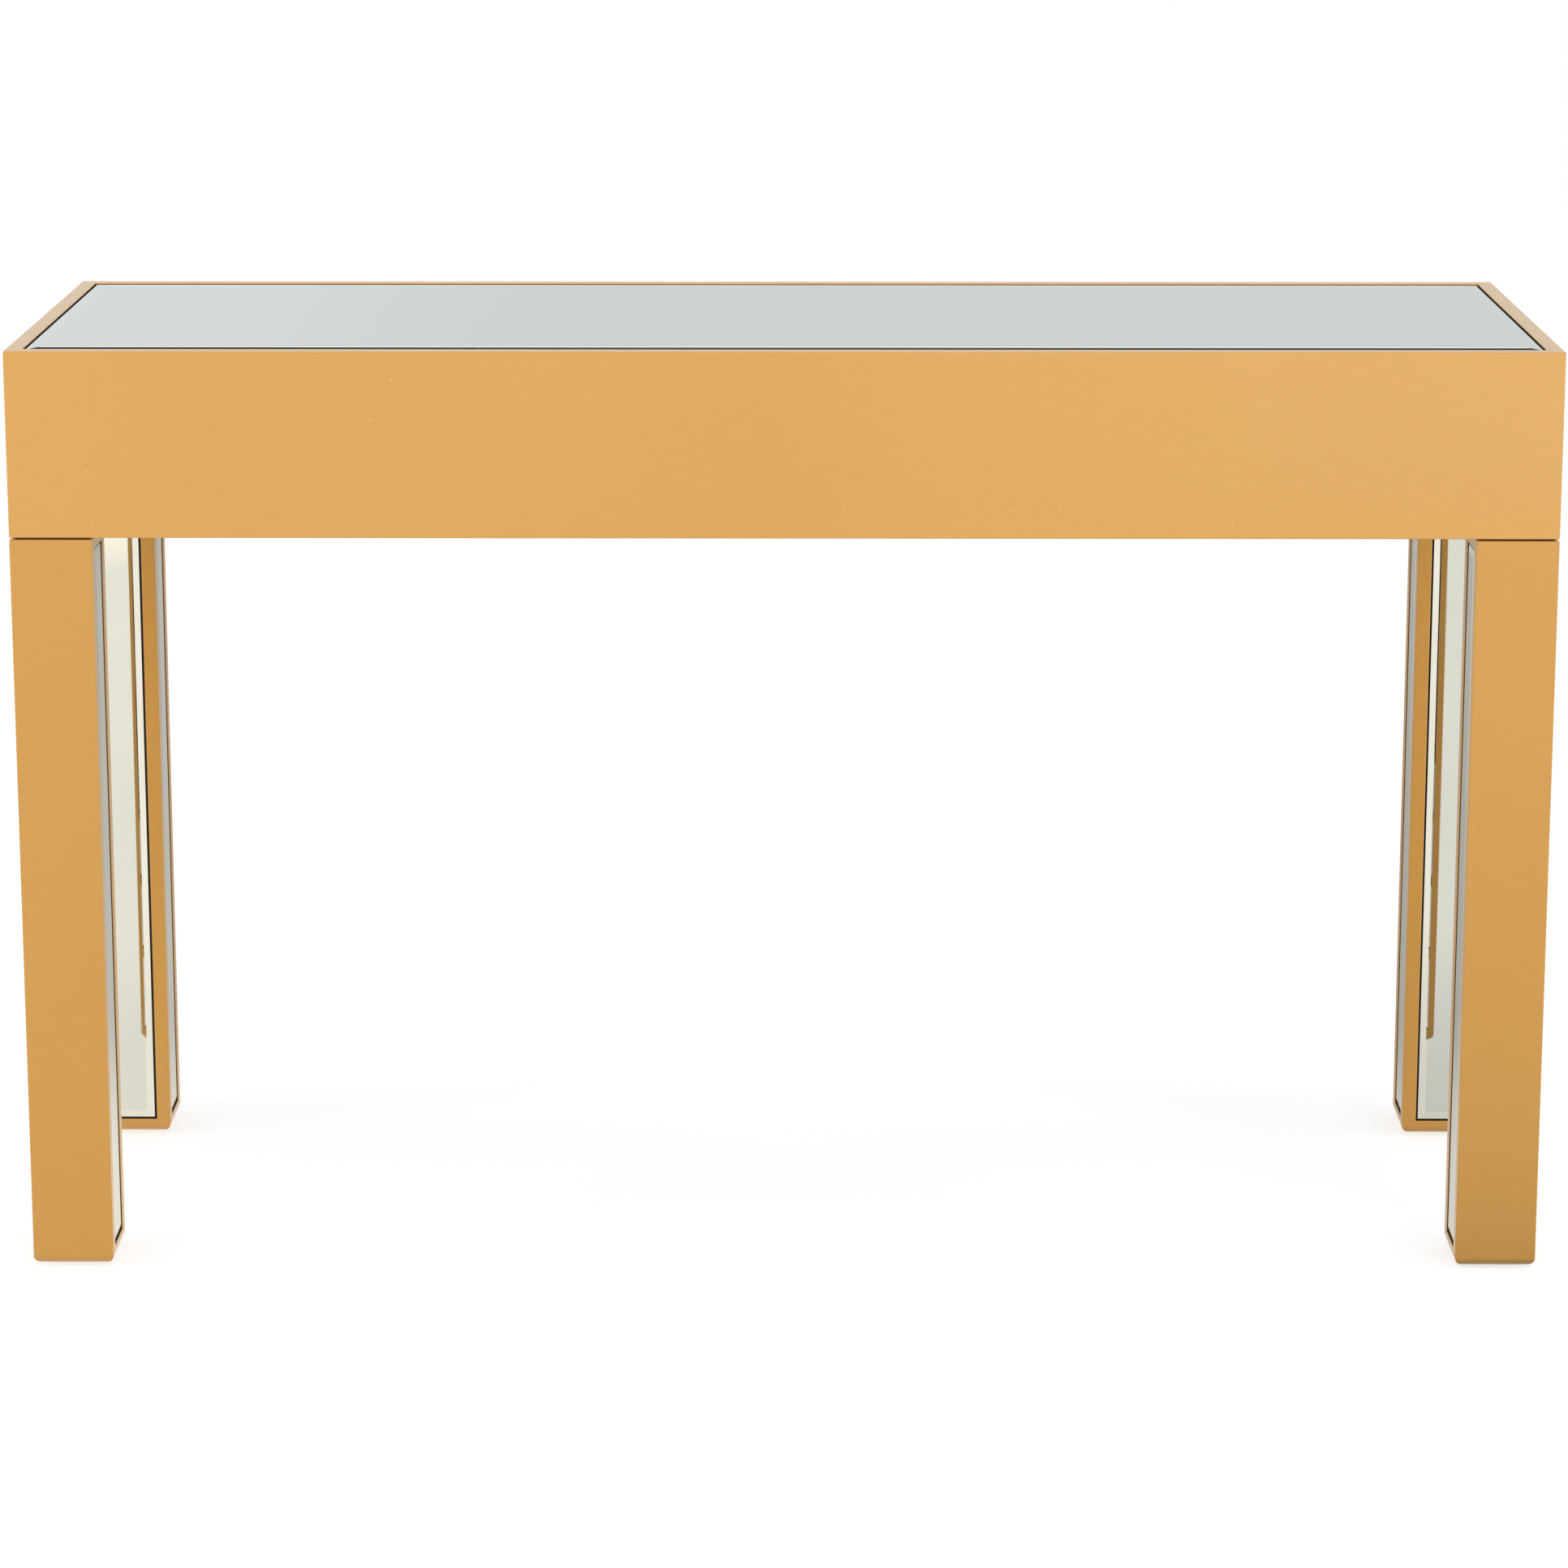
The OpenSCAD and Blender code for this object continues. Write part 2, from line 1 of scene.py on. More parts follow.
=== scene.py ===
"""Finished look of a mirrored vanity table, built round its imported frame.

The table stands on the floor with Z up. Its drawers open towards -Y, and its
plain back faces +Y, where the camera stands. All lengths are in metres.
"""

import logging
import math
from collections.abc import Callable
from dataclasses import dataclass
from enum import Enum, IntEnum
from functools import cached_property
from typing import Union

import bpy
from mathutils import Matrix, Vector


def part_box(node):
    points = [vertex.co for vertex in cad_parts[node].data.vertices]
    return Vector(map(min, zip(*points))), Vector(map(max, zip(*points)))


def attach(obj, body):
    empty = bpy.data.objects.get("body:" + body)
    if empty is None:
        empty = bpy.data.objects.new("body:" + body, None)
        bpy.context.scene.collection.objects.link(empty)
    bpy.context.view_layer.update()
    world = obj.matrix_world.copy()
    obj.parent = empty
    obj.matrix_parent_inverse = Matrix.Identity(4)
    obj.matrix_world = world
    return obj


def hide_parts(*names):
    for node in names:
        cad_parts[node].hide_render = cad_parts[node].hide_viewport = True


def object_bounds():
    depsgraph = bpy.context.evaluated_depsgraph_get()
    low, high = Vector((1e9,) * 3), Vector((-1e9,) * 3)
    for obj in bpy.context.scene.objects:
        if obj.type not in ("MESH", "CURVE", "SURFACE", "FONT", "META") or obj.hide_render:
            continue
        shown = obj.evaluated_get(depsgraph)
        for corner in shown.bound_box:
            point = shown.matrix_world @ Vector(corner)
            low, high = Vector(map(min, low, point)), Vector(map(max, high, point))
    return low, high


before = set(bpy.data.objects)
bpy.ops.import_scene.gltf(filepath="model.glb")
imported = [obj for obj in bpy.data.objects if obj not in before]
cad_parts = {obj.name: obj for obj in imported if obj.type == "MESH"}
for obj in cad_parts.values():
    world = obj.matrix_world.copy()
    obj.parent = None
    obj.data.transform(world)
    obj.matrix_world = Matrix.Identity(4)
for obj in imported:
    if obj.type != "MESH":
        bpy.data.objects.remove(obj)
CAD_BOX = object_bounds()

LOG = logging.getLogger("vanity_table")
MM = 0.001
TOUCH = 1e-5
LEFT = "left"
RIGHT = "right"

# An edge that turns by more than SHARP is a corner; shading is smooth over turns below SMOOTH.
SHARP = math.radians(30.0)
SMOOTH = math.radians(35.0)
# The cosine between a face and a side: straight at it, exactly flat, or more at it than along it.
SQUARE = 0.999
FLAT = 0.99999
HALFWAY = 0.5

Pair = tuple[float, float]
Triple = tuple[float, float, float]
Colour = Triple
Stops = tuple[tuple[float, Colour], ...]
# The width of a rounding and how many faces it takes.
Rounding = tuple[float, int]
Drive = Union[float, Colour, "Channel"]
EVEN: Triple = (1.0, 1.0, 1.0)


# ---- names


class Slot(Enum):
    """The record's material slots, passed along with each new piece."""

    GOLD = "gold_paint"
    MIRROR = "mirror_glass"
    WOOD = "drawer_wood"
    BRASS = "brass"
    CRYSTAL = "crystal"
    NYLON = "nylon"


class BoardSlot(IntEnum):
    """The material slots of a board or a leg."""

    FACE = 0
    EDGE = 1
    RECESS = 2


class GlassSlot(IntEnum):
    """The material slots of a mirror sheet."""

    PLATE = 0
    RIM = 1
    SLOPE = 2
    ARRIS = 3


class KnobSlot(IntEnum):
    """The material slots of a knob."""

    CRYSTAL = 0
    FOIL = 1


class Part(Enum):
    """What a selection is made of, with its edit-mode switches."""

    POINT = (True, False, False)
    EDGE = (False, True, False)
    FACE = (False, False, True)


class Side(Enum):
    """A direction out of a box, as the unit vector of its face."""

    PLUS_X = (1.0, 0.0, 0.0)
    MINUS_X = (-1.0, 0.0, 0.0)
    PLUS_Y = (0.0, 1.0, 0.0)
    MINUS_Y = (0.0, -1.0, 0.0)
    PLUS_Z = (0.0, 0.0, 1.0)
    MINUS_Z = (0.0, 0.0, -1.0)

    @property
    def out(self) -> Vector:
        """The direction as a vector."""
        return Vector(self.value)

    @property
    def axis(self) -> int:
        """Which coordinate the direction runs along."""
        return [abs(v) for v in self.value].index(1.0)


# ---- shader maths


class Channel:
    """One output of a node, with arithmetic that adds Math nodes."""

    def __init__(self, desk: "PaintDesk", socket: bpy.types.NodeSocket) -> None:
        """Keeps the desk the node stands on and the socket itself."""
        self.desk = desk
        self.socket = socket

    def _math(self, operation: str, first: Drive, second: Drive) -> "Channel":
        """Adds one Math node."""
        return self.desk.node("ShaderNodeMath", {"operation": operation}, {0: first, 1: second})

    def __add__(self, other: Drive) -> "Channel":
        """Sum."""
        return self._math("ADD", self, other)

    __radd__ = __add__

    def __sub__(self, other: Drive) -> "Channel":
        """Difference."""
        return self._math("SUBTRACT", self, other)

    def __rsub__(self, other: Drive) -> "Channel":
        """Difference, the other way round."""
        return self._math("SUBTRACT", other, self)

    def __mul__(self, other: Drive) -> "Channel":
        """Product."""
        return self._math("MULTIPLY", self, other)

    __rmul__ = __mul__

    def __truediv__(self, other: Drive) -> "Channel":
        """Quotient."""
        return self._math("DIVIDE", self, other)

    def __pow__(self, other: Drive) -> "Channel":
        """Power."""
        return self._math("POWER", self, other)

    def step(self, low: float, high: float) -> "Channel":
        """A smooth step from 0 at low to 1 at high."""
        return self.desk.node(
            "ShaderNodeMapRange",
            {"interpolation_type": "SMOOTHSTEP"},
            {"Value": self, "From Min": low, "From Max": high},
        )


class PaintDesk:
    """A node tree being filled, for a material or the world."""

    def __init__(self, tree: bpy.types.NodeTree) -> None:
        """Clears the tree that it fills."""
        self.tree = tree
        tree.nodes.clear()

    def node(self, kind: str, settings: dict | None = None, inputs: dict | None = None,
             out: str | int = 0) -> Channel:
        """Adds any node.

        Args:
            kind: the node's type.
            settings: its properties; "stops" fills a colour ramp.
            inputs: values or channels for its sockets, by name or number.
            out: the output to return.

        Returns:
            The chosen output as a channel.
        """
        made = self.tree.nodes.new(kind)
        for key, value in (settings or {}).items():
            if key == "stops":
                self._fill_ramp(made.color_ramp, value)
            else:
                setattr(made, key, value)
        for key, value in (inputs or {}).items():
            if isinstance(value, Channel):
                self.tree.links.new(value.socket, made.inputs[key])
            elif isinstance(value, tuple) and len(value) == 3 and made.inputs[key].type == "RGBA":
                made.inputs[key].default_value = (*value, 1.0)
            else:
                made.inputs[key].default_value = value
        return Channel(self, made.outputs[out]) if len(made.outputs) else Channel(self, None)

    @staticmethod
    def _fill_ramp(ramp: bpy.types.ColorRamp, stops: Stops) -> None:
        """Sets a ramp's stops.

        Args:
            ramp: the ramp, with its two first stops.
            stops: each stop's place and colour.
        """
        while len(ramp.elements) < len(stops):
            ramp.elements.new(1.0)
        for element, (place, colour) in zip(ramp.elements, stops):
            element.position = place
            element.color = (*colour, 1.0)

    def place(self, stretch: Triple = EVEN) -> Channel:
        """Object coordinates, squeezed along each axis."""
        point = self.node("ShaderNodeTexCoord", out="Object")
        return self.node("ShaderNodeMapping", None, {"Vector": point, "Scale": stretch})

    def noise(self, scale: float, detail: float = 3.0, stretch: Triple = EVEN,
              rough: float = 0.5) -> Channel:
        """Noise between 0 and 1, with so many clouds in a metre and so many finer layers."""
        return self.node(
            "ShaderNodeTexNoise", None,
            {"Vector": self.place(stretch), "Scale": scale, "Detail": detail, "Roughness": rough},
        )

    def specks(self, scale: float, size: float) -> Channel:
        """Sparse dots, 1 at their middle, whose radius is a share of a cell."""
        distance = self.node(
            "ShaderNodeTexVoronoi", None, {"Vector": self.place(), "Scale": scale}, "Distance"
        )
        return 1.0 - distance.step(0.4 * size, size)

    def blend(self, share: Drive, first: Drive, second: Drive, kind: str = "MIX") -> Channel:
        """Mixes two colours, by the share of the second one."""
        return self.node(
            "ShaderNodeMix", {"data_type": "RGBA", "blend_type": kind},
            {0: share, 6: first, 7: second}, 2,
        )

    def shaded(self, colour: Drive, value: Channel) -> Channel:
        """A colour times a value."""
        grey = self.node("ShaderNodeCombineXYZ", None, {0: value, 1: value, 2: value})
        return self.blend(1.0, colour, grey, "MULTIPLY")

    def split(self, vector: Channel) -> list[Channel]:
        """The three coordinates of a vector."""
        return [self.node("ShaderNodeSeparateXYZ", None, {0: vector}, i) for i in range(3)]

    def glow(self, colour: Drive, strength: float = 1.0) -> Channel:
        """A shader that shines by itself."""
        return self.node("ShaderNodeEmission", None, {"Color": colour, "Strength": strength})

    def fork(self, share: Drive, first: Channel, second: Channel) -> Channel:
        """Mixes two shaders, by the share of the second one."""
        return self.node("ShaderNodeMixShader", None, {0: share, 1: first, 2: second})

    def ray(self, kind: str) -> Channel:
        """1 for one kind of ray, such as the camera's, and 0 for all others."""
        return self.node("ShaderNodeLightPath", None, None, f"Is {kind} Ray")

    def bump(self, height: Channel, strength: float, distance: float) -> Channel:
        """The normal of a relief that is so many metres deep."""
        return self.node(
            "ShaderNodeBump", None, {"Height": height, "Strength": strength, "Distance": distance},
        )


# ---- finishes


@dataclass(frozen=True)
class Finish:
    """A finish that a Principled shader gives."""

    name: str

    def mix(self) -> bpy.types.Material:
        """Mixes the material.

        Returns:
            The material.
        """
        material = bpy.data.materials.new(self.name)
        material.use_nodes = True
        desk = PaintDesk(material.node_tree)
        shader = desk.node("ShaderNodeBsdfPrincipled", None, self._dress(desk))
        desk.node("ShaderNodeOutputMaterial", None, {"Surface": shader})
        return material

    def _dress(self, desk: PaintDesk) -> dict:
        """Adds the finish's own nodes and returns the shader's sockets."""
        raise NotImplementedError


@dataclass(frozen=True)
class GoldPaint(Finish):
    """Satin gold paint over smooth fibreboard, with a faint brushed grain."""

    colour: Colour = (0.712, 0.386, 0.096)
    deep: Colour = (0.668, 0.352, 0.082)
    roughness: float = 0.42
    grain: Triple = (3.0, 3.0, 60.0)

    def _dress(self, desk: PaintDesk) -> dict:
        """Cloudy tone, fine grain, dust under the lacquer and a light orange peel.

        Args:
            desk: the material's tree.

        Returns:
            The shader's sockets.
        """
        clouds = desk.noise(3.0, 4.0)
        grain = desk.noise(14.0, 5.0, self.grain, 0.6)
        dust = desk.specks(38.0, 0.035)
        peel = desk.noise(420.0, 2.0)
        tone = clouds.step(0.25, 0.75) * 0.55 + grain.step(0.3, 0.7) * 0.45
        paint = desk.blend(tone, self.deep, self.colour)
        colour = desk.blend(dust * 0.5, paint, (0.90, 0.70, 0.42))
        relief = peel * 0.5 + grain * 0.5 + dust * 0.8
        return {
            "Base Color": colour,
            "Roughness": self.roughness + (grain - 0.5) * 0.12 + (clouds - 0.5) * 0.10,
            "Normal": desk.bump(relief, 0.05, 0.0002),
            "Specular IOR Level": 0.2,
            "Coat Weight": 0.85,
            "Coat Roughness": 0.14,
        }


@dataclass(frozen=True)
class SilveredGlass(Finish):
    """Plate mirror: clean, very slightly uneven, with a trace of dust and smears."""

    tint: Colour = (0.780, 0.800, 0.785)

    def _dress(self, desk: PaintDesk) -> dict:
        """Slow waves in the plate, smears that dull it a little, and dust.

        Args:
            desk: the material's tree.

        Returns:
            The shader's sockets.
        """
        waves = desk.noise(2.2, 1.0)
        smears = desk.noise(9.0, 4.0, (1.0, 1.6, 1.0)).step(0.48, 0.78)
        dust = desk.specks(30.0, 0.03)
        dull = smears * 0.035 + dust * 0.4
        return {
            "Base Color": desk.blend(dust * 0.6, self.tint, (0.93, 0.93, 0.91)),
            "Metallic": 1.0,
            "Roughness": dull + 0.012,
            "Normal": desk.bump(waves, 0.05, 0.004),
        }


@dataclass(frozen=True)
class GroundGlass(Finish):
    """The cut edge of a glass sheet: green in its depth; on its arris frosty and painted near white
    as a highlight.
    """

    deep: Colour
    light: Colour
    metallic: float = 0.75

    def _dress(self, desk: PaintDesk) -> dict:
        """Streaks left by the grinding wheel.

        Args:
            desk: the material's tree.

        Returns:
            The shader's sockets.
        """
        streaks = desk.noise(60.0, 4.0, (1.0, 1.0, 6.0))
        return {
            "Base Color": desk.blend(streaks, self.deep, self.light),
            "Metallic": self.metallic,
            "Roughness": streaks * 0.18 + 0.12,
            "Coat Weight": 0.6,
            "Coat Roughness": 0.05,
        }


@dataclass(frozen=True)
class BareBoard(Finish):
    """Sealed plywood or fibreboard: a long figure and fine pores."""

    light: Colour = (0.62, 0.46, 0.29)
    dark: Colour = (0.50, 0.35, 0.20)
    stretch: Triple = (1.0, 12.0, 12.0)

    def _dress(self, desk: PaintDesk) -> dict:
        """Wavy figure, pores and a dull sealed surface.

        Args:
            desk: the material's tree.

        Returns:
            The shader's sockets.
        """
        figure = desk.noise(2.4, 6.0, self.stretch, 0.65)
        pores = desk.noise(90.0, 3.0, self.stretch, 0.7).step(0.55, 0.75)
        tone = figure.step(0.3, 0.7)
        wood = desk.blend(tone, self.dark, self.light)
        return {
            "Base Color": desk.blend(pores * 0.35, wood, self.dark),
            "Roughness": tone * 0.08 + pores * 0.12 + 0.48,
            "Normal": desk.bump(figure * 0.4 - pores * 0.6, 0.25, 0.0002),
        }


@dataclass(frozen=True)
class PlyEdge(Finish):
    """The edge of a plywood board, in thin light and dark layers."""

    direction: str
    layer: float = 2.4 * MM

    def _dress(self, desk: PaintDesk) -> dict:
        """Layers stacked along the board's thickness, broken by short grain.

        Args:
            desk: the material's tree.

        Returns:
            The shader's sockets.
        """
        grain = desk.noise(70.0, 4.0)
        # The wave texture repeats every pi / (10 * scale).
        stack = desk.node(
            "ShaderNodeTexWave", {"bands_direction": self.direction},
            {"Vector": desk.place(), "Scale": math.pi / (10.0 * self.layer), "Distortion": 0.4},
        )
        tone = stack.step(0.3, 0.7) * 0.7 + grain * 0.3
        return {
            "Base Color": desk.blend(tone, (0.40, 0.27, 0.15), (0.66, 0.50, 0.32)),
            "Roughness": grain * 0.15 + 0.5,
            "Normal": desk.bump(tone, 0.2, 0.0002),
        }


@dataclass(frozen=True)
class PlatedSteel(Finish):
    """Zinc-plated or polished metal with a clouded, finely scratched surface."""

    colour: Colour = (0.58, 0.59, 0.60)
    roughness: float = 0.28
    scratch: Triple = (40.0, 1.0, 40.0)

    def _dress(self, desk: PaintDesk) -> dict:
        """Cloudy plating and fine drawn scratches.

        Args:
            desk: the material's tree.

        Returns:
            The shader's sockets.
        """
        clouds = desk.noise(55.0, 4.0)
        drawn = desk.noise(30.0, 4.0, self.scratch)
        dark = tuple(0.78 * c for c in self.colour)
        return {
            "Base Color": desk.blend(clouds.step(0.3, 0.7), dark, self.colour),
            "Metallic": 1.0,
            "Roughness": self.roughness + (clouds - 0.5) * 0.16 + (drawn - 0.5) * 0.14,
            "Normal": desk.bump(drawn, 0.08, 0.0001),
        }


@dataclass(frozen=True)
class CutCrystal(Finish):
    """Clear cut crystal with a trace of handling marks."""

    def _dress(self, desk: PaintDesk) -> dict:
        """Clear glass whose polish varies slightly.

        Args:
            desk: the material's tree.

        Returns:
            The shader's sockets.
        """
        marks = desk.noise(160.0, 3.0).step(0.55, 0.8)
        return {
            "Base Color": desk.blend(marks * 0.3, (0.97, 0.985, 1.0), (0.90, 0.93, 0.95)),
            "Roughness": marks * 0.06 + 0.004,
            "Transmission Weight": 1.0,
            "IOR": 1.54,
        }


@dataclass(frozen=True)
class DarkNylon(Finish):
    """Moulded nylon, matt and slightly pitted."""

    def _dress(self, desk: PaintDesk) -> dict:
        """Fine moulded texture with a little dust.

        Args:
            desk: the material's tree.

        Returns:
            The shader's sockets.
        """
        pits = desk.noise(900.0, 3.0)
        dust = desk.noise(60.0, 4.0).step(0.5, 0.8)
        return {
            "Base Color": desk.blend(dust * 0.3, (0.035, 0.032, 0.030), (0.16, 0.15, 0.14)),
            "Roughness": pits * 0.2 + 0.5,
            "Normal": desk.bump(pits, 0.3, 0.0002),
        }


class Look(Enum):
    """Every finish of the table."""

    GOLD = GoldPaint("gold_paint")
    # A darker copy of the gold for the legs: painted shade that sets the legs darker than the case.
    LEG_GOLD = GoldPaint("gold_paint_on_legs", (0.664, 0.342, 0.070), (0.624, 0.312, 0.060))
    # Lighter, glossier gold on every rounded edge: a painted highlight line along the edges.
    GOLD_EDGE = GoldPaint("gold_paint_on_edges", (0.92, 0.66, 0.34), (0.86, 0.58, 0.27), 0.28)
    MIRROR = SilveredGlass("silvered_glass")
    # A lighter tint than the plate on the slopes of the side, drawer and leg glasses: a painted
    # brightening of their reflection.
    BEVEL = SilveredGlass("bevelled_glass", (0.90, 0.90, 0.87))
    GLASS_EDGE = GroundGlass("glass_edge", (0.10, 0.15, 0.13), (0.22, 0.29, 0.26))
    # Near-white arris: a ground edge, lightened as a painted highlight line round each glass.
    ARRIS = GroundGlass("ground_arris", (0.78, 0.80, 0.77), (0.96, 0.96, 0.93), 0.0)
    # Near-black board in recesses, on the case's inner faces and on the deck: painted shade in the
    # gaps round the glass.
    RECESS = BareBoard("stained_recess", (0.085, 0.050, 0.026), (0.050, 0.030, 0.017))
    BOARD = BareBoard("fibreboard", (0.42, 0.30, 0.19), (0.34, 0.23, 0.14))
    PLY_X = BareBoard("plywood_along_x")
    PLY_Y = BareBoard("plywood_along_y", stretch=(12.0, 1.0, 12.0))
    PLY_EDGE_X = PlyEdge("plywood_edge_across_x", "X")
    PLY_EDGE_Y = PlyEdge("plywood_edge_across_y", "Y")
    ZINC = PlatedSteel("zinc_plate")
    # Leg plates darkened to near black: painted shade in the gap between each leg and the case.
    BLACK_ZINC = PlatedSteel("black_zinc_plate", (0.05, 0.045, 0.04), 0.45)
    SLIDE = PlatedSteel("drawn_steel", (0.66, 0.67, 0.68), 0.24)
    BRASS = PlatedSteel("polished_brass", (0.83, 0.60, 0.25), 0.16)
    CRYSTAL = CutCrystal("cut_crystal")
    FOIL = PlatedSteel("silver_foil", (0.90, 0.90, 0.92), 0.10)
    NYLON = DarkNylon("dark_nylon")

    @cached_property
    def material(self) -> bpy.types.Material:
        """The finish's material, mixed at its first use."""
        return self.value.mix()


# The painted boards' slots: gold, gold lightened as painted edge highlights, and near-black painted
# shade.
PAINTED = (Look.GOLD, Look.GOLD_EDGE, Look.RECESS)


# ---- workbench


def select_only(thing: bpy.types.Object) -> None:
    """Deselects everything, then selects one object and makes it active.

    Args:
        thing: the object.
    """
    bpy.ops.object.select_all(action="DESELECT")
    thing.select_set(True)
    bpy.context.view_layer.objects.active = thing


class Workpiece:
    """A mesh on the bench, shaped with edit-mode tools and then dressed."""

    def __init__(self, thing: bpy.types.Object, name: str) -> None:
        """Names an object and puts its place and scale into its mesh.

        Args:
            thing: the object.
            name: the piece's name.
        """
        self.thing = thing
        thing.name = name
        thing.data.name = name
        self.settle()

    @classmethod
    def block(cls, name: str, low: Vector, high: Vector) -> "Workpiece":
        """Starts from a block between two corners.

        Args:
            name: the piece's name.
            low: the block's lowest corner.
            high: its highest corner.

        Returns:
            The piece.
        """
        bpy.ops.object.select_all(action="DESELECT")
        bpy.ops.mesh.primitive_cube_add(size=1.0, location=(low + high) / 2.0, scale=high - low)
        return cls(bpy.context.object, name)

    @classmethod
    def round_bar(cls, name: str, radius: float, length: float, sides: int) -> "Workpiece":
        """Starts from an upright cylinder that stands on Z = 0.

        Args:
            name: the piece's name.
            radius: its radius.
            length: its length along Z.
            sides: how many sides it has.

        Returns:
            The piece.
        """
        bpy.ops.object.select_all(action="DESELECT")
        bpy.ops.mesh.primitive_cylinder_add(
            vertices=sides, radius=radius, depth=length, location=(0.0, 0.0, length / 2.0)
        )
        return cls(bpy.context.object, name)

    def settle(self) -> "Workpiece":
        """Puts the object's place, turn and scale into its mesh.

        Returns:
            The piece.
        """
        select_only(self.thing)
        bpy.ops.object.transform_apply(location=True, rotation=True, scale=True)
        return self

    @property
    def low(self) -> Vector:
        """The mesh's lowest corner."""
        return Vector([min(v.co[i] for v in self.thing.data.vertices) for i in range(3)])

    @property
    def high(self) -> Vector:
        """The mesh's highest corner."""
        return Vector([max(v.co[i] for v in self.thing.data.vertices) for i in range(3)])

    def copy(self, name: str) -> "Workpiece":
        """Copies the piece with a mesh of its own.

        Args:
            name: the copy's name.

        Returns:
            The copy.
        """
        twin = self.thing.copy()
        twin.data = self.thing.data.copy()
        bpy.context.scene.collection.objects.link(twin)
        return Workpiece(twin, name)

    def discard(self) -> None:
        """Removes a pattern that was only copied."""
        bpy.data.objects.remove(self.thing)

    def turn(self, angle: float, axis: int) -> "Workpiece":
        """Turns the whole piece about an axis through the origin."""
        self.thing.rotation_euler[axis] = angle
        return self.settle()

    def move(self, offset: Vector) -> "Workpiece":
        """Moves the whole piece."""
        self.thing.location = offset
        return self.settle()

    # selection

    def _deselect_mesh(self) -> bpy.types.Mesh:
        """Deselects all points, edges and faces.

        Returns:
            The piece's mesh.
        """
        mesh = self.thing.data
        for group in (mesh.vertices, mesh.edges, mesh.polygons):
            group.foreach_set("select", [False] * len(group))
        return mesh

    def pick_points(self, test: Callable[[Vector], bool]) -> "Workpiece":
        """Selects the points whose place passes a test.

        Args:
            test: takes a point's place.

        Returns:
            The piece.
        """
        for point in self._deselect_mesh().vertices:
            point.select = test(point.co)
        bpy.context.tool_settings.mesh_select_mode = Part.POINT.value
        return self

    def pick_edges(self, test: Callable[[Vector, Vector], bool]) -> "Workpiece":
        """Selects the edges whose two ends pass a test.

        Args:
            test: takes the places of an edge's ends.

        Returns:
            The piece.
        """
        mesh = self._deselect_mesh()
        for edge in mesh.edges:
            edge.select = test(*(mesh.vertices[i].co for i in edge.vertices))
        bpy.context.tool_settings.mesh_select_mode = Part.EDGE.value
        return self

    def pick_faces(self, test: Callable[[Vector, Vector], bool]) -> "Workpiece":
        """Selects the faces whose centre and normal pass a test.

        Args:
            test: takes a face's centre and normal.

        Returns:
            The piece.
        """
        for face in self._deselect_mesh().polygons:
            face.select = test(face.center, face.normal)
        bpy.context.tool_settings.mesh_select_mode = Part.FACE.value
        return self

    def reach(self, side: Side) -> float:
        """How far the mesh reaches towards one side."""
        return max(v.co.dot(side.out) for v in self.thing.data.vertices)

    def pick_side(self, side: Side) -> "Workpiece":
        """Selects the outermost flat faces on one side."""
        reach = self.reach(side)
        return self.pick_faces(
            lambda centre, normal: normal.dot(side.out) > SQUARE
            and abs(centre.dot(side.out) - reach) < TOUCH
        )

    def pick_rims(self, keep: Callable[[Vector, Vector], bool] = lambda a, b: True) -> "Workpiece":
        """Selects the sharp edges on the piece's outermost planes.

        Args:
            keep: an extra test on an edge's two ends.

        Returns:
            The piece, for the next step.
        """
        mesh = self.thing.data
        low, high = self.low, self.high
        normals: dict[tuple[int, int], list[Vector]] = {}
        for face in mesh.polygons:
            for key in face.edge_keys:
                normals.setdefault(key, []).append(face.normal.copy())
        sharp = {
            frozenset(key) for key, sides in normals.items()
            if len(sides) == 2 and sides[0].angle(sides[1]) > SHARP
        }
        self._deselect_mesh()
        for edge in mesh.edges:
            a, b = (mesh.vertices[i].co for i in edge.vertices)
            on_plane = any(
                abs(a[i] - wall[i]) < TOUCH and abs(b[i] - wall[i]) < TOUCH
                for wall in (low, high) for i in range(3)
            )
            edge.select = on_plane and frozenset(edge.vertices) in sharp and keep(a, b)
        bpy.context.tool_settings.mesh_select_mode = Part.EDGE.value
        return self

    # edit-mode tools

    def _in_edit_mode(self, tool: Callable[[], object]) -> "Workpiece":
        """Runs one edit-mode tool on the selection.

        Args:
            tool: calls the operator.

        Returns:
            The piece.
        """
        select_only(self.thing)
        bpy.ops.object.mode_set(mode="EDIT")
        tool()
        bpy.ops.object.mode_set(mode="OBJECT")
        return self

    def inset(self, width: float) -> "Workpiece":
        """Insets the selected faces and leaves the inner ones selected."""
        return self._in_edit_mode(
            lambda: bpy.ops.mesh.inset(thickness=width, use_even_offset=True)
        )

    def push(self, offset: Vector) -> "Workpiece":
        """Extrudes the selected faces along an offset."""
        return self._in_edit_mode(lambda: bpy.ops.mesh.extrude_region_move(
            TRANSFORM_OT_translate={"value": tuple(offset)}
        ))

    def shift(self, offset: Vector) -> "Workpiece":
        """Moves the selection."""
        return self._in_edit_mode(lambda: bpy.ops.transform.translate(value=tuple(offset)))

    def widen(self, factor: float) -> "Workpiece":
        """Scales the selection about the Z axis."""
        return self._in_edit_mode(lambda: bpy.ops.transform.resize(
            value=(factor, factor, 1.0), center_override=(0.0, 0.0, 0.0)
        ))

    def twist(self, angle: float) -> "Workpiece":
        """Turns the selection about the Z axis."""
        return self._in_edit_mode(lambda: bpy.ops.transform.rotate(
            value=angle, orient_axis="Z", center_override=(0.0, 0.0, 0.0)
        ))

    def facet(self) -> "Workpiece":
        """Cuts the selected faces into triangles."""
        return self._in_edit_mode(lambda: bpy.ops.mesh.quads_convert_to_tris())

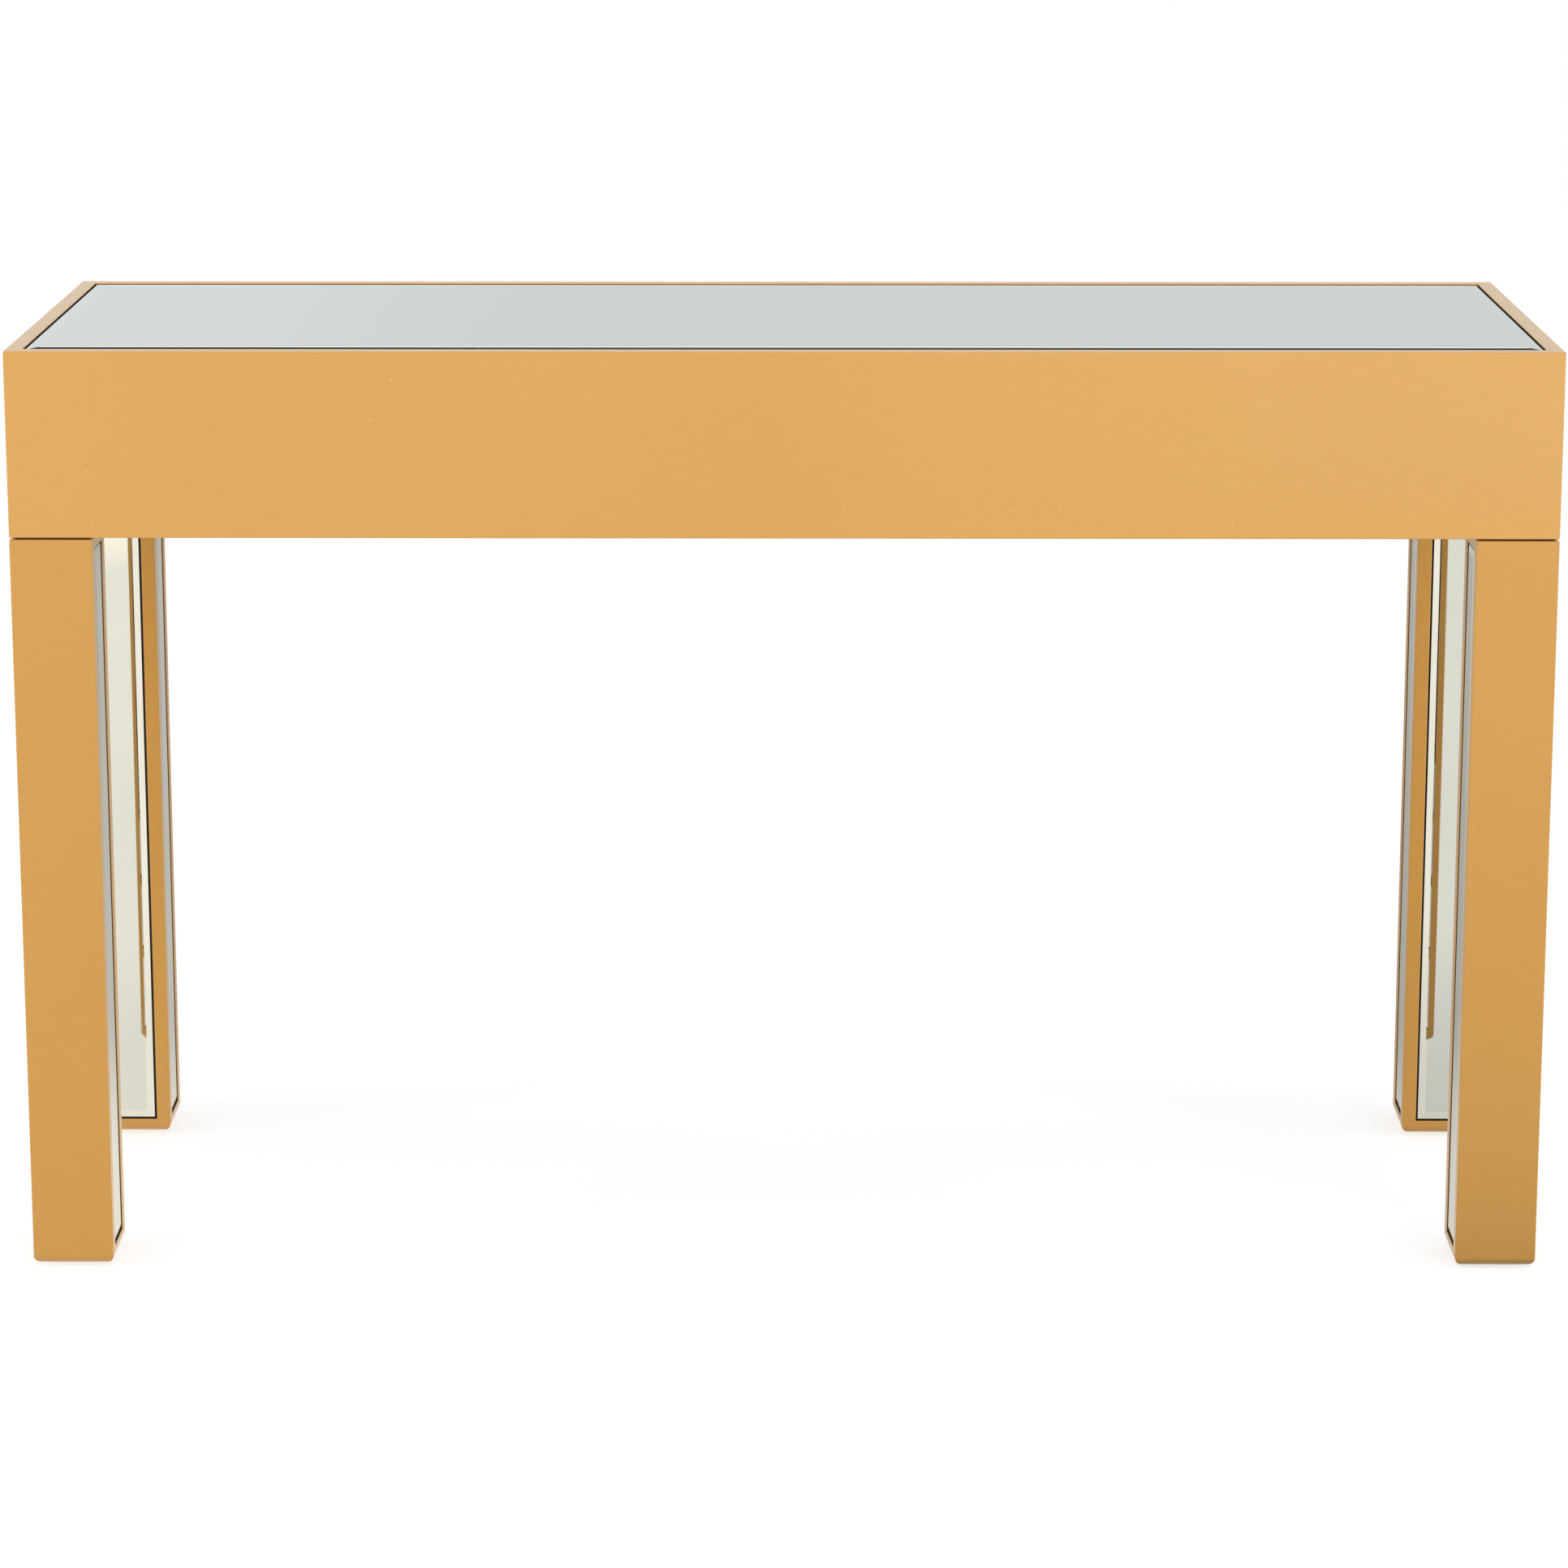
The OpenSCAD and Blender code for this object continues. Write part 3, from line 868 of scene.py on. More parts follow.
    def round(self, width: float, steps: int, slot: int = -1) -> "Workpiece":
        """Rounds the selected edges; -1 gives the new faces their neighbours' slots."""
        return self._in_edit_mode(lambda: bpy.ops.mesh.bevel(
            offset=width, segments=steps, profile=0.5, affect="EDGES",
            clamp_overlap=False, material=slot,
        ))

    def ease(self, width: float, steps: int) -> "Workpiece":
        """Rounds the selected edges of a board and marks them as its edge."""
        return self.round(width, steps, BoardSlot.EDGE)

    def split(self, point: Vector, normal: Vector, waste: bool = False) -> "Workpiece":
        """Adds edges where a plane crosses the piece.

        Args:
            point: a point on the plane.
            normal: the plane's normal.
            waste: whether what lies on the normal's side is cut off, and the cut closed.

        Returns:
            The piece.
        """
        self.pick_faces(lambda centre, facing: True)
        return self._in_edit_mode(lambda: bpy.ops.mesh.bisect(
            plane_co=tuple(point), plane_no=tuple(normal), use_fill=waste, clear_outer=waste
        ))

    def recess(self, side: Side, margin: float, depth: float, top_gain: float = 0.0) -> "Workpiece":
        """Routs a flat-bottomed recess into one side, with an even margin round it.

        Args:
            side: the side it is cut into.
            margin: the width of the frame left round it.
            depth: how deep it goes.
            top_gain: how much further up it reaches than the margin says.

        Returns:
            The piece.
        """
        self.pick_side(side).inset(margin)
        reach, low, high = self.reach(side), self.low, self.high
        across = [i for i in range(3) if i != side.axis]
        if top_gain:
            level = high.z - margin
            self.pick_points(
                lambda p: abs(p.dot(side.out) - reach) < TOUCH and abs(p.z - level) < TOUCH
            ).shift(Vector((0.0, 0.0, top_gain)))
        self.pick_faces(
            lambda centre, normal: normal.dot(side.out) > SQUARE
            and abs(centre.dot(side.out) - reach) < TOUCH
            and all(low[i] + margin < centre[i] < high[i] - margin for i in across)
        )
        self.push(-depth * side.out)
        floor, middle = reach - depth, reach - depth / 2.0
        # The recess floor and walls take the recess slot, which holds painted shade.
        return self.paint(
            BoardSlot.RECESS,
            lambda centre, normal: floor - TOUCH < centre.dot(side.out) < middle + TOUCH
            and all(low[i] + margin - TOUCH < centre[i] < high[i] - margin + top_gain + TOUCH
                    for i in across)
        )

    # finishing

    def paint(self, slot: int, test: Callable[[Vector, Vector], bool]) -> "Workpiece":
        """Gives the faces whose centre and normal pass a test a material slot."""
        for face in self.thing.data.polygons:
            if test(face.center, face.normal):
                face.material_index = slot
        return self

    def shade(self) -> "Workpiece":
        """Smooths the roundings and keeps the large faces flat.

        Returns:
            The piece.
        """
        select_only(self.thing)
        bpy.ops.object.shade_smooth_by_angle(angle=SMOOTH)
        modifier = self.thing.modifiers.new("flat_faces", "WEIGHTED_NORMAL")
        modifier.keep_sharp = True
        bpy.ops.object.modifier_apply(modifier=modifier.name)
        return self

    def dress(self, *looks: Look) -> "Workpiece":
        """Fills the material slots in order, keeping each face's slot.

        Args:
            looks: the finish of each slot.

        Returns:
            The piece.
        """
        slots = [face.material_index for face in self.thing.data.polygons]
        self.thing.data.materials.clear()
        for look in looks:
            self.thing.data.materials.append(look.material)
        for face, slot in zip(self.thing.data.polygons, slots):
            face.material_index = min(slot, len(looks) - 1)
        return self

    def deliver(self, body: str, slot: Slot, *nodes: str) -> "Workpiece":
        """Mounts the finished piece on its body in place of its plain nodes.

        Args:
            body: the body it moves with.
            slot: the record's slot for its finish; not used.
            nodes: the plain nodes it stands for.

        Returns:
            The piece.
        """
        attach(self.thing, body)
        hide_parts(*nodes)
        LOG.info("%s: %d faces on %s", self.thing.name, len(self.thing.data.polygons), body)
        return self


def dress_nodes(look: Look, *names: str) -> None:
    """Gives plain nodes that keep their shape a finish.

    Args:
        look: the finish.
        names: the nodes' names.
    """
    material = look.material
    for name in names:
        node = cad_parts[name]
        if not node.material_slots:
            node.data.materials.append(material)
        for slot in node.material_slots:
            slot.material = material
        LOG.info("%s: own shape, dressed in %s", name, material.name)


# ---- mirrors


@dataclass(frozen=True)
class MirrorSheet:
    """A bevelled sheet of plate mirror with a softly polished ridge."""

    slope_look: Look
    bevel_w: float
    bevel_d: float
    ridge_w: float = 4.0 * MM
    ridge_d: float = 0.2 * MM
    arris: Rounding = (0.4 * MM, 1)

    def model(self, name: str, low: Vector, high: Vector, side: Side) -> Workpiece:
        """Models and dresses the sheet.

        Args:
            name: the piece's name.
            low: its lowest corner.
            high: its highest corner.
            side: where its face looks.

        Returns:
            The dressed piece.
        """
        across = [i for i in range(3) if i != side.axis]
        reach = max(low.dot(side.out), high.dot(side.out))

        def inward(point: Vector) -> float:
            """How far a point lies inside the outline."""
            return min(min(point[i] - low[i], high[i] - point[i]) for i in across)

        sheet = Workpiece.block(name, low, high)
        sheet.paint(
            GlassSlot.RIM, lambda centre, normal: abs(normal.dot(side.out)) < HALFWAY
        )
        slope_w = self.bevel_w - self.ridge_w
        sheet.pick_side(side).inset(slope_w).inset(self.ridge_w)
        for edge, drop in ((0.0, self.bevel_d - self.ridge_d), (slope_w, self.ridge_d)):
            sheet.pick_points(
                lambda p, edge=edge: p.dot(side.out) > reach - self.bevel_d - TOUCH
                and inward(p) < edge + TOUCH
            ).shift(-drop * side.out)
        sheet.paint(
            GlassSlot.SLOPE, lambda centre, normal: HALFWAY < normal.dot(side.out) < FLAT
        )
        rim = reach - self.bevel_d
        sheet.pick_edges(
            lambda a, b: all(inward(p) < TOUCH and abs(p.dot(side.out) - rim) < TOUCH
                             for p in (a, b))
        ).round(*self.arris, GlassSlot.ARRIS)
        return sheet.dress(Look.MIRROR, Look.GLASS_EDGE, self.slope_look, Look.ARRIS)


# ---- case


@dataclass(frozen=True)
class CaseShell:
    """The gold carcass: back, sides, front rails and partition."""

    recess_margin: float = 14.0 * MM
    recess_depth: float = 4.3 * MM
    edge: Rounding = (0.9 * MM, 3)

    def build(self) -> None:
        """Builds every board of the carcass."""
        self._back_panel()
        self._side_panels()
        self._front_rails()
        self._partition()

    @staticmethod
    def _finish_board(board: Workpiece, node: str, inner: Side | None = None) -> None:
        """Paints a board's inner face near black as painted shade, then shades, dresses and mounts
        it.

        Args:
            board: the shaped board.
            node: the plain node it stands for.
            inner: the side that looks into the case.
        """
        if inner:
            board.paint(
                BoardSlot.RECESS, lambda centre, normal: normal.dot(inner.out) > SQUARE
            )
        board.shade().dress(*PAINTED).deliver("table", Slot.GOLD, node)

    def _back_panel(self) -> None:
        """The plain back, mitred into both sides so that its corners round as one."""
        low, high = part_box("back_panel")
        board = Workpiece.block("painted_back_panel", low, high)
        board.pick_rims().ease(*self.edge)
        for end in (low.x, high.x):
            outward = math.copysign(1.0, end)
            board.split(Vector((end, high.y, high.z)), Vector((outward, -1.0, 0.0)), waste=True)
        self._finish_board(board, "back_panel", Side.MINUS_Y)

    def _side_panels(self) -> None:
        """The side boards, with their mirror recesses and rear mitres."""
        for hand, side in ((LEFT, Side.MINUS_X), (RIGHT, Side.PLUS_X)):
            node = f"{hand}_side_panel"
            low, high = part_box(node)
            board = Workpiece.block(f"painted_{node}", low, high)
            board.recess(side, self.recess_margin, self.recess_depth)
            board.pick_rims().ease(*self.edge)
            corner = Vector((side.out.x * max(abs(low.x), abs(high.x)), high.y, high.z))
            board.split(corner, Vector((-side.out.x, 1.0, 0.0)), waste=True)
            self._finish_board(board, node, Side.PLUS_X if hand is LEFT else Side.MINUS_X)

    def _front_rails(self) -> None:
        """The rails over and under the drawers."""
        for node in ("front_top_rail", "front_bottom_rail"):
            rail = Workpiece.block(f"painted_{node}", *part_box(node))
            rail.pick_rims().ease(*self.edge)
            self._finish_board(rail, node, Side.PLUS_Y)

    def _partition(self) -> None:
        """The upright board between the drawers, tongued between the rails."""
        low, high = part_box("centre_partition")
        back_of_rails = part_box("front_top_rail")[1].y
        start = Vector((low.x, back_of_rails, low.z))
        board = Workpiece.block("painted_centre_partition", start, high)
        tongue = (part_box("front_bottom_rail")[1].z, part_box("front_top_rail")[0].z)
        for level in tongue:
            board.split(Vector((0.0, 0.0, level)), Side.PLUS_Z.out)
        board.pick_faces(
            lambda centre, normal: normal.y < -SQUARE and tongue[0] < centre.z < tongue[1]
        ).push(Vector((0.0, low.y - back_of_rails, 0.0)))
        board.pick_rims(lambda a, b: abs(a.y - low.y) < TOUCH and abs(b.y - low.y) < TOUCH)
        board.ease(*self.edge)
        self._finish_board(board, "centre_partition")


@dataclass(frozen=True)
class InlaidMirrors:
    """The top glass and the two side glasses, with the width and depth of their slopes."""

    top_bevel: Pair = (12.0 * MM, 1.0 * MM)
    top_ridge: Pair = (3.2 * MM, 0.16 * MM)
    side_bevel: Pair = (9.0 * MM, 1.2 * MM)

    def build(self) -> None:
        """Cuts the three glasses and lays them in, the top one level with the rims."""
        low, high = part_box("top_mirror")
        high.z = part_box("back_panel")[1].z
        sheet = MirrorSheet(Look.MIRROR, *self.top_bevel, *self.top_ridge)
        self._lay("top_mirror", low, high, sheet, Side.PLUS_Z)
        sheet = MirrorSheet(Look.BEVEL, *self.side_bevel)
        self._lay("left_side_mirror", *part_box("left_side_mirror"), sheet, Side.MINUS_X)
        self._lay("right_side_mirror", *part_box("right_side_mirror"), sheet, Side.PLUS_X)

    @staticmethod
    def _lay(node: str, low: Vector, high: Vector, sheet: MirrorSheet, side: Side) -> None:
        """Cuts one glass between two corners and mounts it."""
        sheet.model(f"bevelled_{node}", low, high, side).deliver("table", Slot.MIRROR, node)


# ---- legs


class Row(Enum):
    """A row of legs, with the sides on which its legs carry mirror strips."""

    FRONT = (Side.PLUS_X, Side.PLUS_Y, Side.MINUS_X, Side.MINUS_Y)
    REAR = (Side.PLUS_X, Side.MINUS_X, Side.MINUS_Y)

    @property
    def word(self) -> str:
        """The row's word in names."""
        return self.name.lower()


@dataclass(frozen=True)
class Legs:
    """Four square posts with inlaid mirror strips and nylon glides."""

    stile: float = 12.0 * MM
    top_gain: float = 2.0 * MM
    recess_depth: float = 4.3 * MM
    edge: Rounding = (1.0 * MM, 3)
    foot: Rounding = (8.0 * MM, 7)
    gap: float = 1.3 * MM
    glass_t: float = 4.0 * MM
    glass_bevel: Pair = (6.5 * MM, 1.0 * MM)
    glass_ridge: Pair = (1.0 * MM, 0.06 * MM)
    glide_r: float = 12.0 * MM
    glide_edge: Rounding = (0.6 * MM, 3)
    glide_sides: int = 40

    def build(self) -> None:
        """Builds a pattern leg for each row, the strips and the glides."""
        strip = self._strip_pattern()
        glide = self._glide_pattern()
        for row in Row:
            pattern = self._leg_pattern(row)
            for hand in (LEFT, RIGHT):
                node = f"{row.word}_{hand}_leg"
                centre = self._centre(node)
                post = pattern.copy(f"painted_{node}").move(centre)
                post.deliver("table", Slot.GOLD, node)
                self._lay_strips(strip, row, node, centre)
                pad = glide.copy(f"{row.word}_{hand}_foot_glide").move(centre)
                pad.deliver("table", Slot.NYLON, "leg_glides")
            pattern.discard()
        strip.discard()
        glide.discard()

    @staticmethod
    def _centre(node: str) -> Vector:
        """The middle of a leg, at floor level."""
        low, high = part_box(node)
        return Vector(((low.x + high.x) / 2.0, (low.y + high.y) / 2.0, 0.0))

    def _leg_pattern(self, row: Row) -> Workpiece:
        """Models a leg on the Z axis.

        Args:
            row: the row it stands in.

        Returns:
            The dressed leg.
        """
        low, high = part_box(f"{row.word}_left_leg")
        half = (high.x - low.x) / 2.0
        post = Workpiece.block(
            "leg_pattern", Vector((-half, -half, low.z)), Vector((half, half, high.z))
        )
        for side in row.value:
            post.recess(side, self.stile, self.recess_depth, self.top_gain)
        sole = low.z + TOUCH
        post.pick_rims(lambda a, b: a.z < sole and b.z < sole).round(
            *self.foot, BoardSlot.FACE
        )
        post.pick_rims(lambda a, b: min(a.z, b.z) > sole).ease(*self.edge)
        return post.shade().dress(Look.LEG_GOLD, Look.GOLD_EDGE, Look.RECESS)

    def _strip_pattern(self) -> Workpiece:
        """Cuts a strip that faces +Y on a leg on the Z axis.

        Returns:
            The dressed strip.
        """
        low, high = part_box("rear_left_leg")
        half = (high.x - low.x) / 2.0
        width = half - self.stile - self.gap
        back = half - self.recess_depth
        foot = low.z + self.stile + self.gap
        head = high.z - self.stile + self.top_gain - self.gap
        corners = Vector((-width, back, foot)), Vector((width, back + self.glass_t, head))
        sheet = MirrorSheet(Look.BEVEL, *self.glass_bevel, *self.glass_ridge)
        return sheet.model("strip_pattern", *corners, Side.PLUS_Y)

    def _lay_strips(self, strip: Workpiece, row: Row, node: str, centre: Vector) -> None:
        """Lays copies of the strip into a leg's recesses.

        Args:
            strip: the pattern strip.
            row: the row the leg stands in.
            node: the leg's node.
            centre: the leg's middle at floor level.
        """
        for side in row.value:
            word = side.name.lower()
            glass = strip.copy(f"{node}_mirror_{word}")
            glass.turn(math.atan2(side.out.y, side.out.x) - math.pi / 2.0, 2).move(centre)
            glass.deliver("table", Slot.MIRROR, f"{node}_mirrors")

    def _glide_pattern(self) -> Workpiece:
        """Turns a glide with a rounded sole.

        Returns:
            The dressed glide.
        """
        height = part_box("rear_left_leg")[0].z
        pad = Workpiece.round_bar("glide_pattern", self.glide_r, height, self.glide_sides)
        pad.pick_edges(lambda a, b: max(a.z, b.z) < TOUCH).round(*self.glide_edge)
        return pad.shade().dress(Look.NYLON)


# ---- drawers


@dataclass(frozen=True)
class CrystalKnob:
    """A cut crystal knob on a turned brass base."""

    radius: float = 16.0 * MM
    length: float = 24.0 * MM
    sides: int = 12
    stem: Pair = (0.15, 0.45)
    waist: float = 0.60
    tiers: tuple[Triple, ...] = (
        (0.350, 1.00, 1.0), (0.120, 1.00, 1.0), (0.228, 0.80, 1.0), (0.152, 0.45, 0.0),
    )
    facet_edge: Rounding = (0.15 * MM, 1)
    foil_tilt: float = 0.1
    foil_from: float = 0.1
    disc_r: float = 10.0 * MM
    disc_t: float = 1.5 * MM
    disc_edge: Rounding = (0.7 * MM, 4)
    disc_sides: int = 48
    neck_r: float = 5.5 * MM
    neck_l: float = 2.8 * MM
    neck_edge: Rounding = (0.25 * MM, 2)

    def model_crystal(self, name: str) -> Workpiece:
        """Cuts the knob, standing on Z = 0: stem, flare, girdle, crown and table.

        Each tier gives its rise and its radius as shares of the knob's size, and its turn in
        half sides.

        Args:
            name: the piece's name.

        Returns:
            The dressed knob.
        """
        rise, width = self.stem
        knob = Workpiece.round_bar(name, width * self.radius, rise * self.length, self.sides)
        knob.pick_side(Side.PLUS_Z).widen(self.waist / width)
        width = self.waist
        for rise, wider, turns in self.tiers:
            knob.push(Vector((0.0, 0.0, rise * self.length)))
            knob.widen(wider / width).twist(turns * math.pi / self.sides)
            width = wider
        knob.pick_faces(lambda centre, normal: abs(normal.z) < SQUARE).facet()
        knob.pick_edges(lambda a, b: True).round(*self.facet_edge)
        foot = self.foil_from * self.length
        knob.paint(
            KnobSlot.FOIL,
            lambda centre, normal: normal.z < -self.foil_tilt and centre.z > foot,
        )
        return knob.dress(Look.CRYSTAL, Look.FOIL)

    def model_base(self, name: str) -> Workpiece:
        """Turns the base, standing on Z = 0: a disc with a rounded edge and a neck.

        Args:
            name: the piece's name.

        Returns:
            The dressed base.
        """
        base = Workpiece.round_bar(name, self.disc_r, self.disc_t, self.disc_sides)
        base.pick_side(Side.PLUS_Z).inset(self.disc_r - self.neck_r)
        base.push(Vector((0.0, 0.0, self.neck_l)))
        base.pick_rims(lambda a, b: min(a.z, b.z) > TOUCH).round(*self.neck_edge)
        rim, level = self.disc_r - TOUCH, self.disc_t
        base.pick_edges(
            lambda a, b: all(p.xy.length > rim and abs(p.z - level) < TOUCH for p in (a, b))
        ).round(*self.disc_edge)
        return base.shade().dress(Look.BRASS)


Work = tuple[Workpiece, str, Slot]


@dataclass(frozen=True)
class Drawers:
    """Two equal drawers with mirrored fronts."""

    frame_w: float = 14.0 * MM
    recess_depth: float = 4.3 * MM
    edge: Rounding = (0.9 * MM, 3)
    board_edge: Rounding = (1.2 * MM, 4)
    bevel: Pair = (9.0 * MM, 1.2 * MM)

    def build(self) -> None:
        """Builds the left drawer, then copies it into the right bay."""
        pieces = [self._face(), self._mirror(), *self._box_boards(), *self._knob()]
        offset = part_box("right_drawer_face")[0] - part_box("left_drawer_face")[0]
        for piece, node, slot in pieces:
            twin_node = node.replace("left_drawer", "right_drawer")
            twin = piece.copy(piece.thing.name.replace("left_drawer", "right_drawer"))
            twin.move(offset)
            piece.deliver("left_drawer", slot, node)
            twin.deliver("right_drawer", slot, twin_node)

    def _face(self) -> Work:
        """The gold face board with its recess.

        Returns:
            The piece, the plain node it stands for and its slot.
        """
        node = "left_drawer_face"
        board = Workpiece.block(f"painted_{node}", *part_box(node))
        board.recess(Side.MINUS_Y, self.frame_w, self.recess_depth)
        board.pick_rims().ease(*self.edge)
        return board.shade().dress(*PAINTED), node, Slot.GOLD

    def _mirror(self) -> Work:
        """The bevelled glass in the face.

        Returns:
            The piece, the plain node it stands for and its slot.
        """
        node = "left_drawer_mirror"
        sheet = MirrorSheet(Look.BEVEL, *self.bevel)
        return sheet.model(f"bevelled_{node}", *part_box(node), Side.MINUS_Y), node, Slot.MIRROR

    def _box_boards(self) -> list[Work]:
        """The plywood boards of the drawer box, with rounded top edges.

        Returns:
            Each piece, the plain node it stands for and its slot.
        """
        along_x = (Look.PLY_X, Look.PLY_EDGE_Y)
        along_y = (Look.PLY_Y, Look.PLY_EDGE_X)
        boards = []
        for word, looks in (("inner_front", along_x), ("back", along_x),
                            ("left_side", along_y), ("right_side", along_y)):
            node = f"left_drawer_{word}"
            low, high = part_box(node)
            board = Workpiece.block(f"plywood_{node}", low, high)
            board.paint(BoardSlot.EDGE, lambda centre, normal: abs(normal.z) > HALFWAY)
            crest = high.z - TOUCH
            board.pick_rims(lambda a, b: min(a.z, b.z) > crest).ease(*self.board_edge)
            boards.append((board.shade().dress(*looks), node, Slot.WOOD))
        return boards

    def _knob(self) -> list[Work]:
        """The knob and its base, in the middle of the glass.

        Returns:
            Each piece, the plain node it stands for and its slot.
        """
        knob = CrystalKnob()
        pieces = []
        for node, model, slot in (
            ("left_drawer_knob", knob.model_crystal, Slot.CRYSTAL),
            ("left_drawer_knob_base", knob.model_base, Slot.BRASS),
        ):
            low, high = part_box(node)
            foot = Vector(((low.x + high.x) / 2.0, high.y, (low.z + high.z) / 2.0))
            piece = model(f"cut_{node}").turn(math.pi / 2.0, 0).move(foot)
            pieces.append((piece, node, slot))
        return pieces


@dataclass(frozen=True)
class Hardware:
    """The boards, slides and fixings that keep their plain shapes."""

    def build(self) -> None:
        """Dresses them all."""
        # The deck shows only in the gap round the top glass; its near-black board is painted shade.
        dress_nodes(Look.RECESS, "top_deck")
        dress_nodes(Look.BOARD, "bottom_panel", "deck_battens")
        # The leg plates' near-black finish is the painted shade of the gap under the case.
        dress_nodes(Look.BLACK_ZINC, "leg_plates")
        dress_nodes(Look.ZINC, "leg_bolts", "leg_washers", "plate_screws", "case_rail_screws")
        dress_nodes(Look.BRASS, "leg_inserts")
        for hand in (LEFT, RIGHT):
            drawer = f"{hand}_drawer"
            dress_nodes(Look.PLY_X, f"{drawer}_bottom")
            dress_nodes(Look.SLIDE, f"{hand}_case_rails", f"{drawer}_rails", f"{hand}_ball_cages")
            dress_nodes(Look.ZINC, f"{drawer}_knob_screw", f"{drawer}_rail_screws",
                        f"{drawer}_face_screws")


# ---- studio


def look_along(thing: bpy.types.Object, aim: Vector) -> None:
    """Turns a light or the camera to look along a direction."""
    thing.rotation_mode = "QUATERNION"
    thing.rotation_quaternion = aim.to_track_quat("-Z", "Y")


@dataclass(frozen=True)
class SoftBox:
    """A soft box that mirrors and lacquer don't show."""

    name: str
    place: Triple
    size: Pair
    power: float
    aim: Triple

    def hang(self) -> None:
        """Hangs it at its place, turned to the point that it aims at."""
        data = bpy.data.lights.new(self.name, "AREA")
        data.shape = "RECTANGLE"
        data.size, data.size_y = self.size
        data.energy = self.power
        light = bpy.data.objects.new(self.name, data)
        bpy.context.scene.collection.objects.link(light)
        light.visible_glossy = False
        light.location = self.place
        look_along(light, Vector(self.aim) - Vector(self.place))
        LOG.info("%s: %.0f W at %s", self.name, self.power, self.place)


@dataclass(frozen=True)
class Studio:
    """Pale floor, soft surroundings and soft boxes."""

    floor_size: float = 120.0
    floor_shine: float = 1.2
    floor_paint: float = 0.40
    mirrored_gain: float = 2.0
    room_gain: float = 1.3
    white: Colour = (1.0, 1.0, 1.0)
    boxes: tuple[SoftBox, ...] = (
        SoftBox("overhead_box", (0.0, 0.6, 3.4), (3.0, 2.0), 20.0, (0.0, 0.0, 0.0)),
        SoftBox("left_box", (3.6, 0.9, 1.1), (1.0, 2.0), 24.0, (0.0, 0.1, 0.4)),
        SoftBox("right_box", (-3.6, 0.9, 1.1), (1.0, 2.0), 24.0, (0.0, 0.1, 0.4)),
        SoftBox("key_box", (-2.4, 4.4, 1.9), (1.8, 1.8), 30.0, (-0.3, 0.1, 0.5)),
    )
    drawer_side: Stops = (
        (0.00, (0.98, 0.98, 0.96)), (0.05, (0.92, 0.92, 0.90)),
        (0.10, (0.54, 0.565, 0.56)), (0.155, (0.525, 0.552, 0.544)),
        (0.19, (0.58, 0.60, 0.595)), (0.26, (0.67, 0.68, 0.68)),
        (0.50, (0.55, 0.56, 0.56)), (1.00, (0.42, 0.42, 0.42)),
    )
    back_side: Stops = (
        (0.00, (0.80, 0.78, 0.74)), (0.20, (0.78, 0.77, 0.75)),
        (0.50, (0.66, 0.66, 0.66)), (1.00, (0.42, 0.42, 0.42)),
    )

    def build(self) -> None:
        """Sets up everything but the camera."""
        self._floor()
        self._surroundings()
        for box in self.boxes:
            box.hang()
        bpy.context.scene.view_settings.view_transform = "Standard"

    def _floor(self) -> None:
        """A plain pale floor; mirrors and paint see it slightly warmer and unevenly lit."""
        bpy.ops.object.select_all(action="DESELECT")
        bpy.ops.mesh.primitive_plane_add(size=self.floor_size, location=(0.0, 0.0, 0.0))
        floor = bpy.context.object
        floor.name = "studio_floor"
        material = bpy.data.materials.new("pale_floor")
        material.use_nodes = True
        desk = PaintDesk(material.node_tree)
        x, y, _ = desk.split(desk.place())
        across = x.step(-0.8, 0.8)
        gloss = desk.glow(self._mirrored_floor(desk, x, y, across), self.mirrored_gain)
        # The glow that diffuse rays see is painted bounce light: darker near the table and round
        # the rear leg at -X, as the table's painted shadow.
        reach = self._radius(x, y - 0.2)
        bounce = reach.step(0.3, 1.8) * 0.30 + 0.65
        bounce = bounce - (1.0 - across) * (1.0 - reach.step(0.5, 1.1)) * 0.28
        beside = self._radius(x + 0.57, y - 0.27)
        bounce = bounce - (1.0 - beside.step(0.04, 0.22)) * 0.30
        soft = desk.glow(desk.shaded((1.0, 0.97, 0.92), bounce))
        paint = desk.node("ShaderNodeBsdfDiffuse", None, {
            "Color": desk.blend(desk.noise(4.0), (0.97, 0.97, 0.97), (0.99, 0.99, 0.99)),
        })
        shown = desk.fork(self.floor_paint, desk.glow(self.white, self.floor_shine), paint)
        unseen = desk.fork(desk.ray("Diffuse"), gloss, soft)
        mixed = desk.fork(desk.ray("Camera"), unseen, shown)
        desk.node("ShaderNodeOutputMaterial", None, {"Surface": mixed})
        floor.data.materials.append(material)

    @staticmethod
    def _radius(x: Channel, y: Channel) -> Channel:
        """The length of a flat vector."""
        return (x * x + y * y) ** 0.5

    @staticmethod
    def _mirrored_floor(desk: PaintDesk, x: Channel, y: Channel, across: Channel) -> Channel:
        """What mirrors and lacquer see of the floor, at half its brightness.

        Args:
            desk: the floor's tree.
            x: the place along the table.
            y: the place behind the table.
            across: 0 on the right-hand side and 1 on the left-hand side of the back.

        Returns:
            The colour: warm behind the table, grey under its front, bright far away.
        """
        back = desk.blend(across, (0.450, 0.435, 0.395), (0.500, 0.478, 0.418))
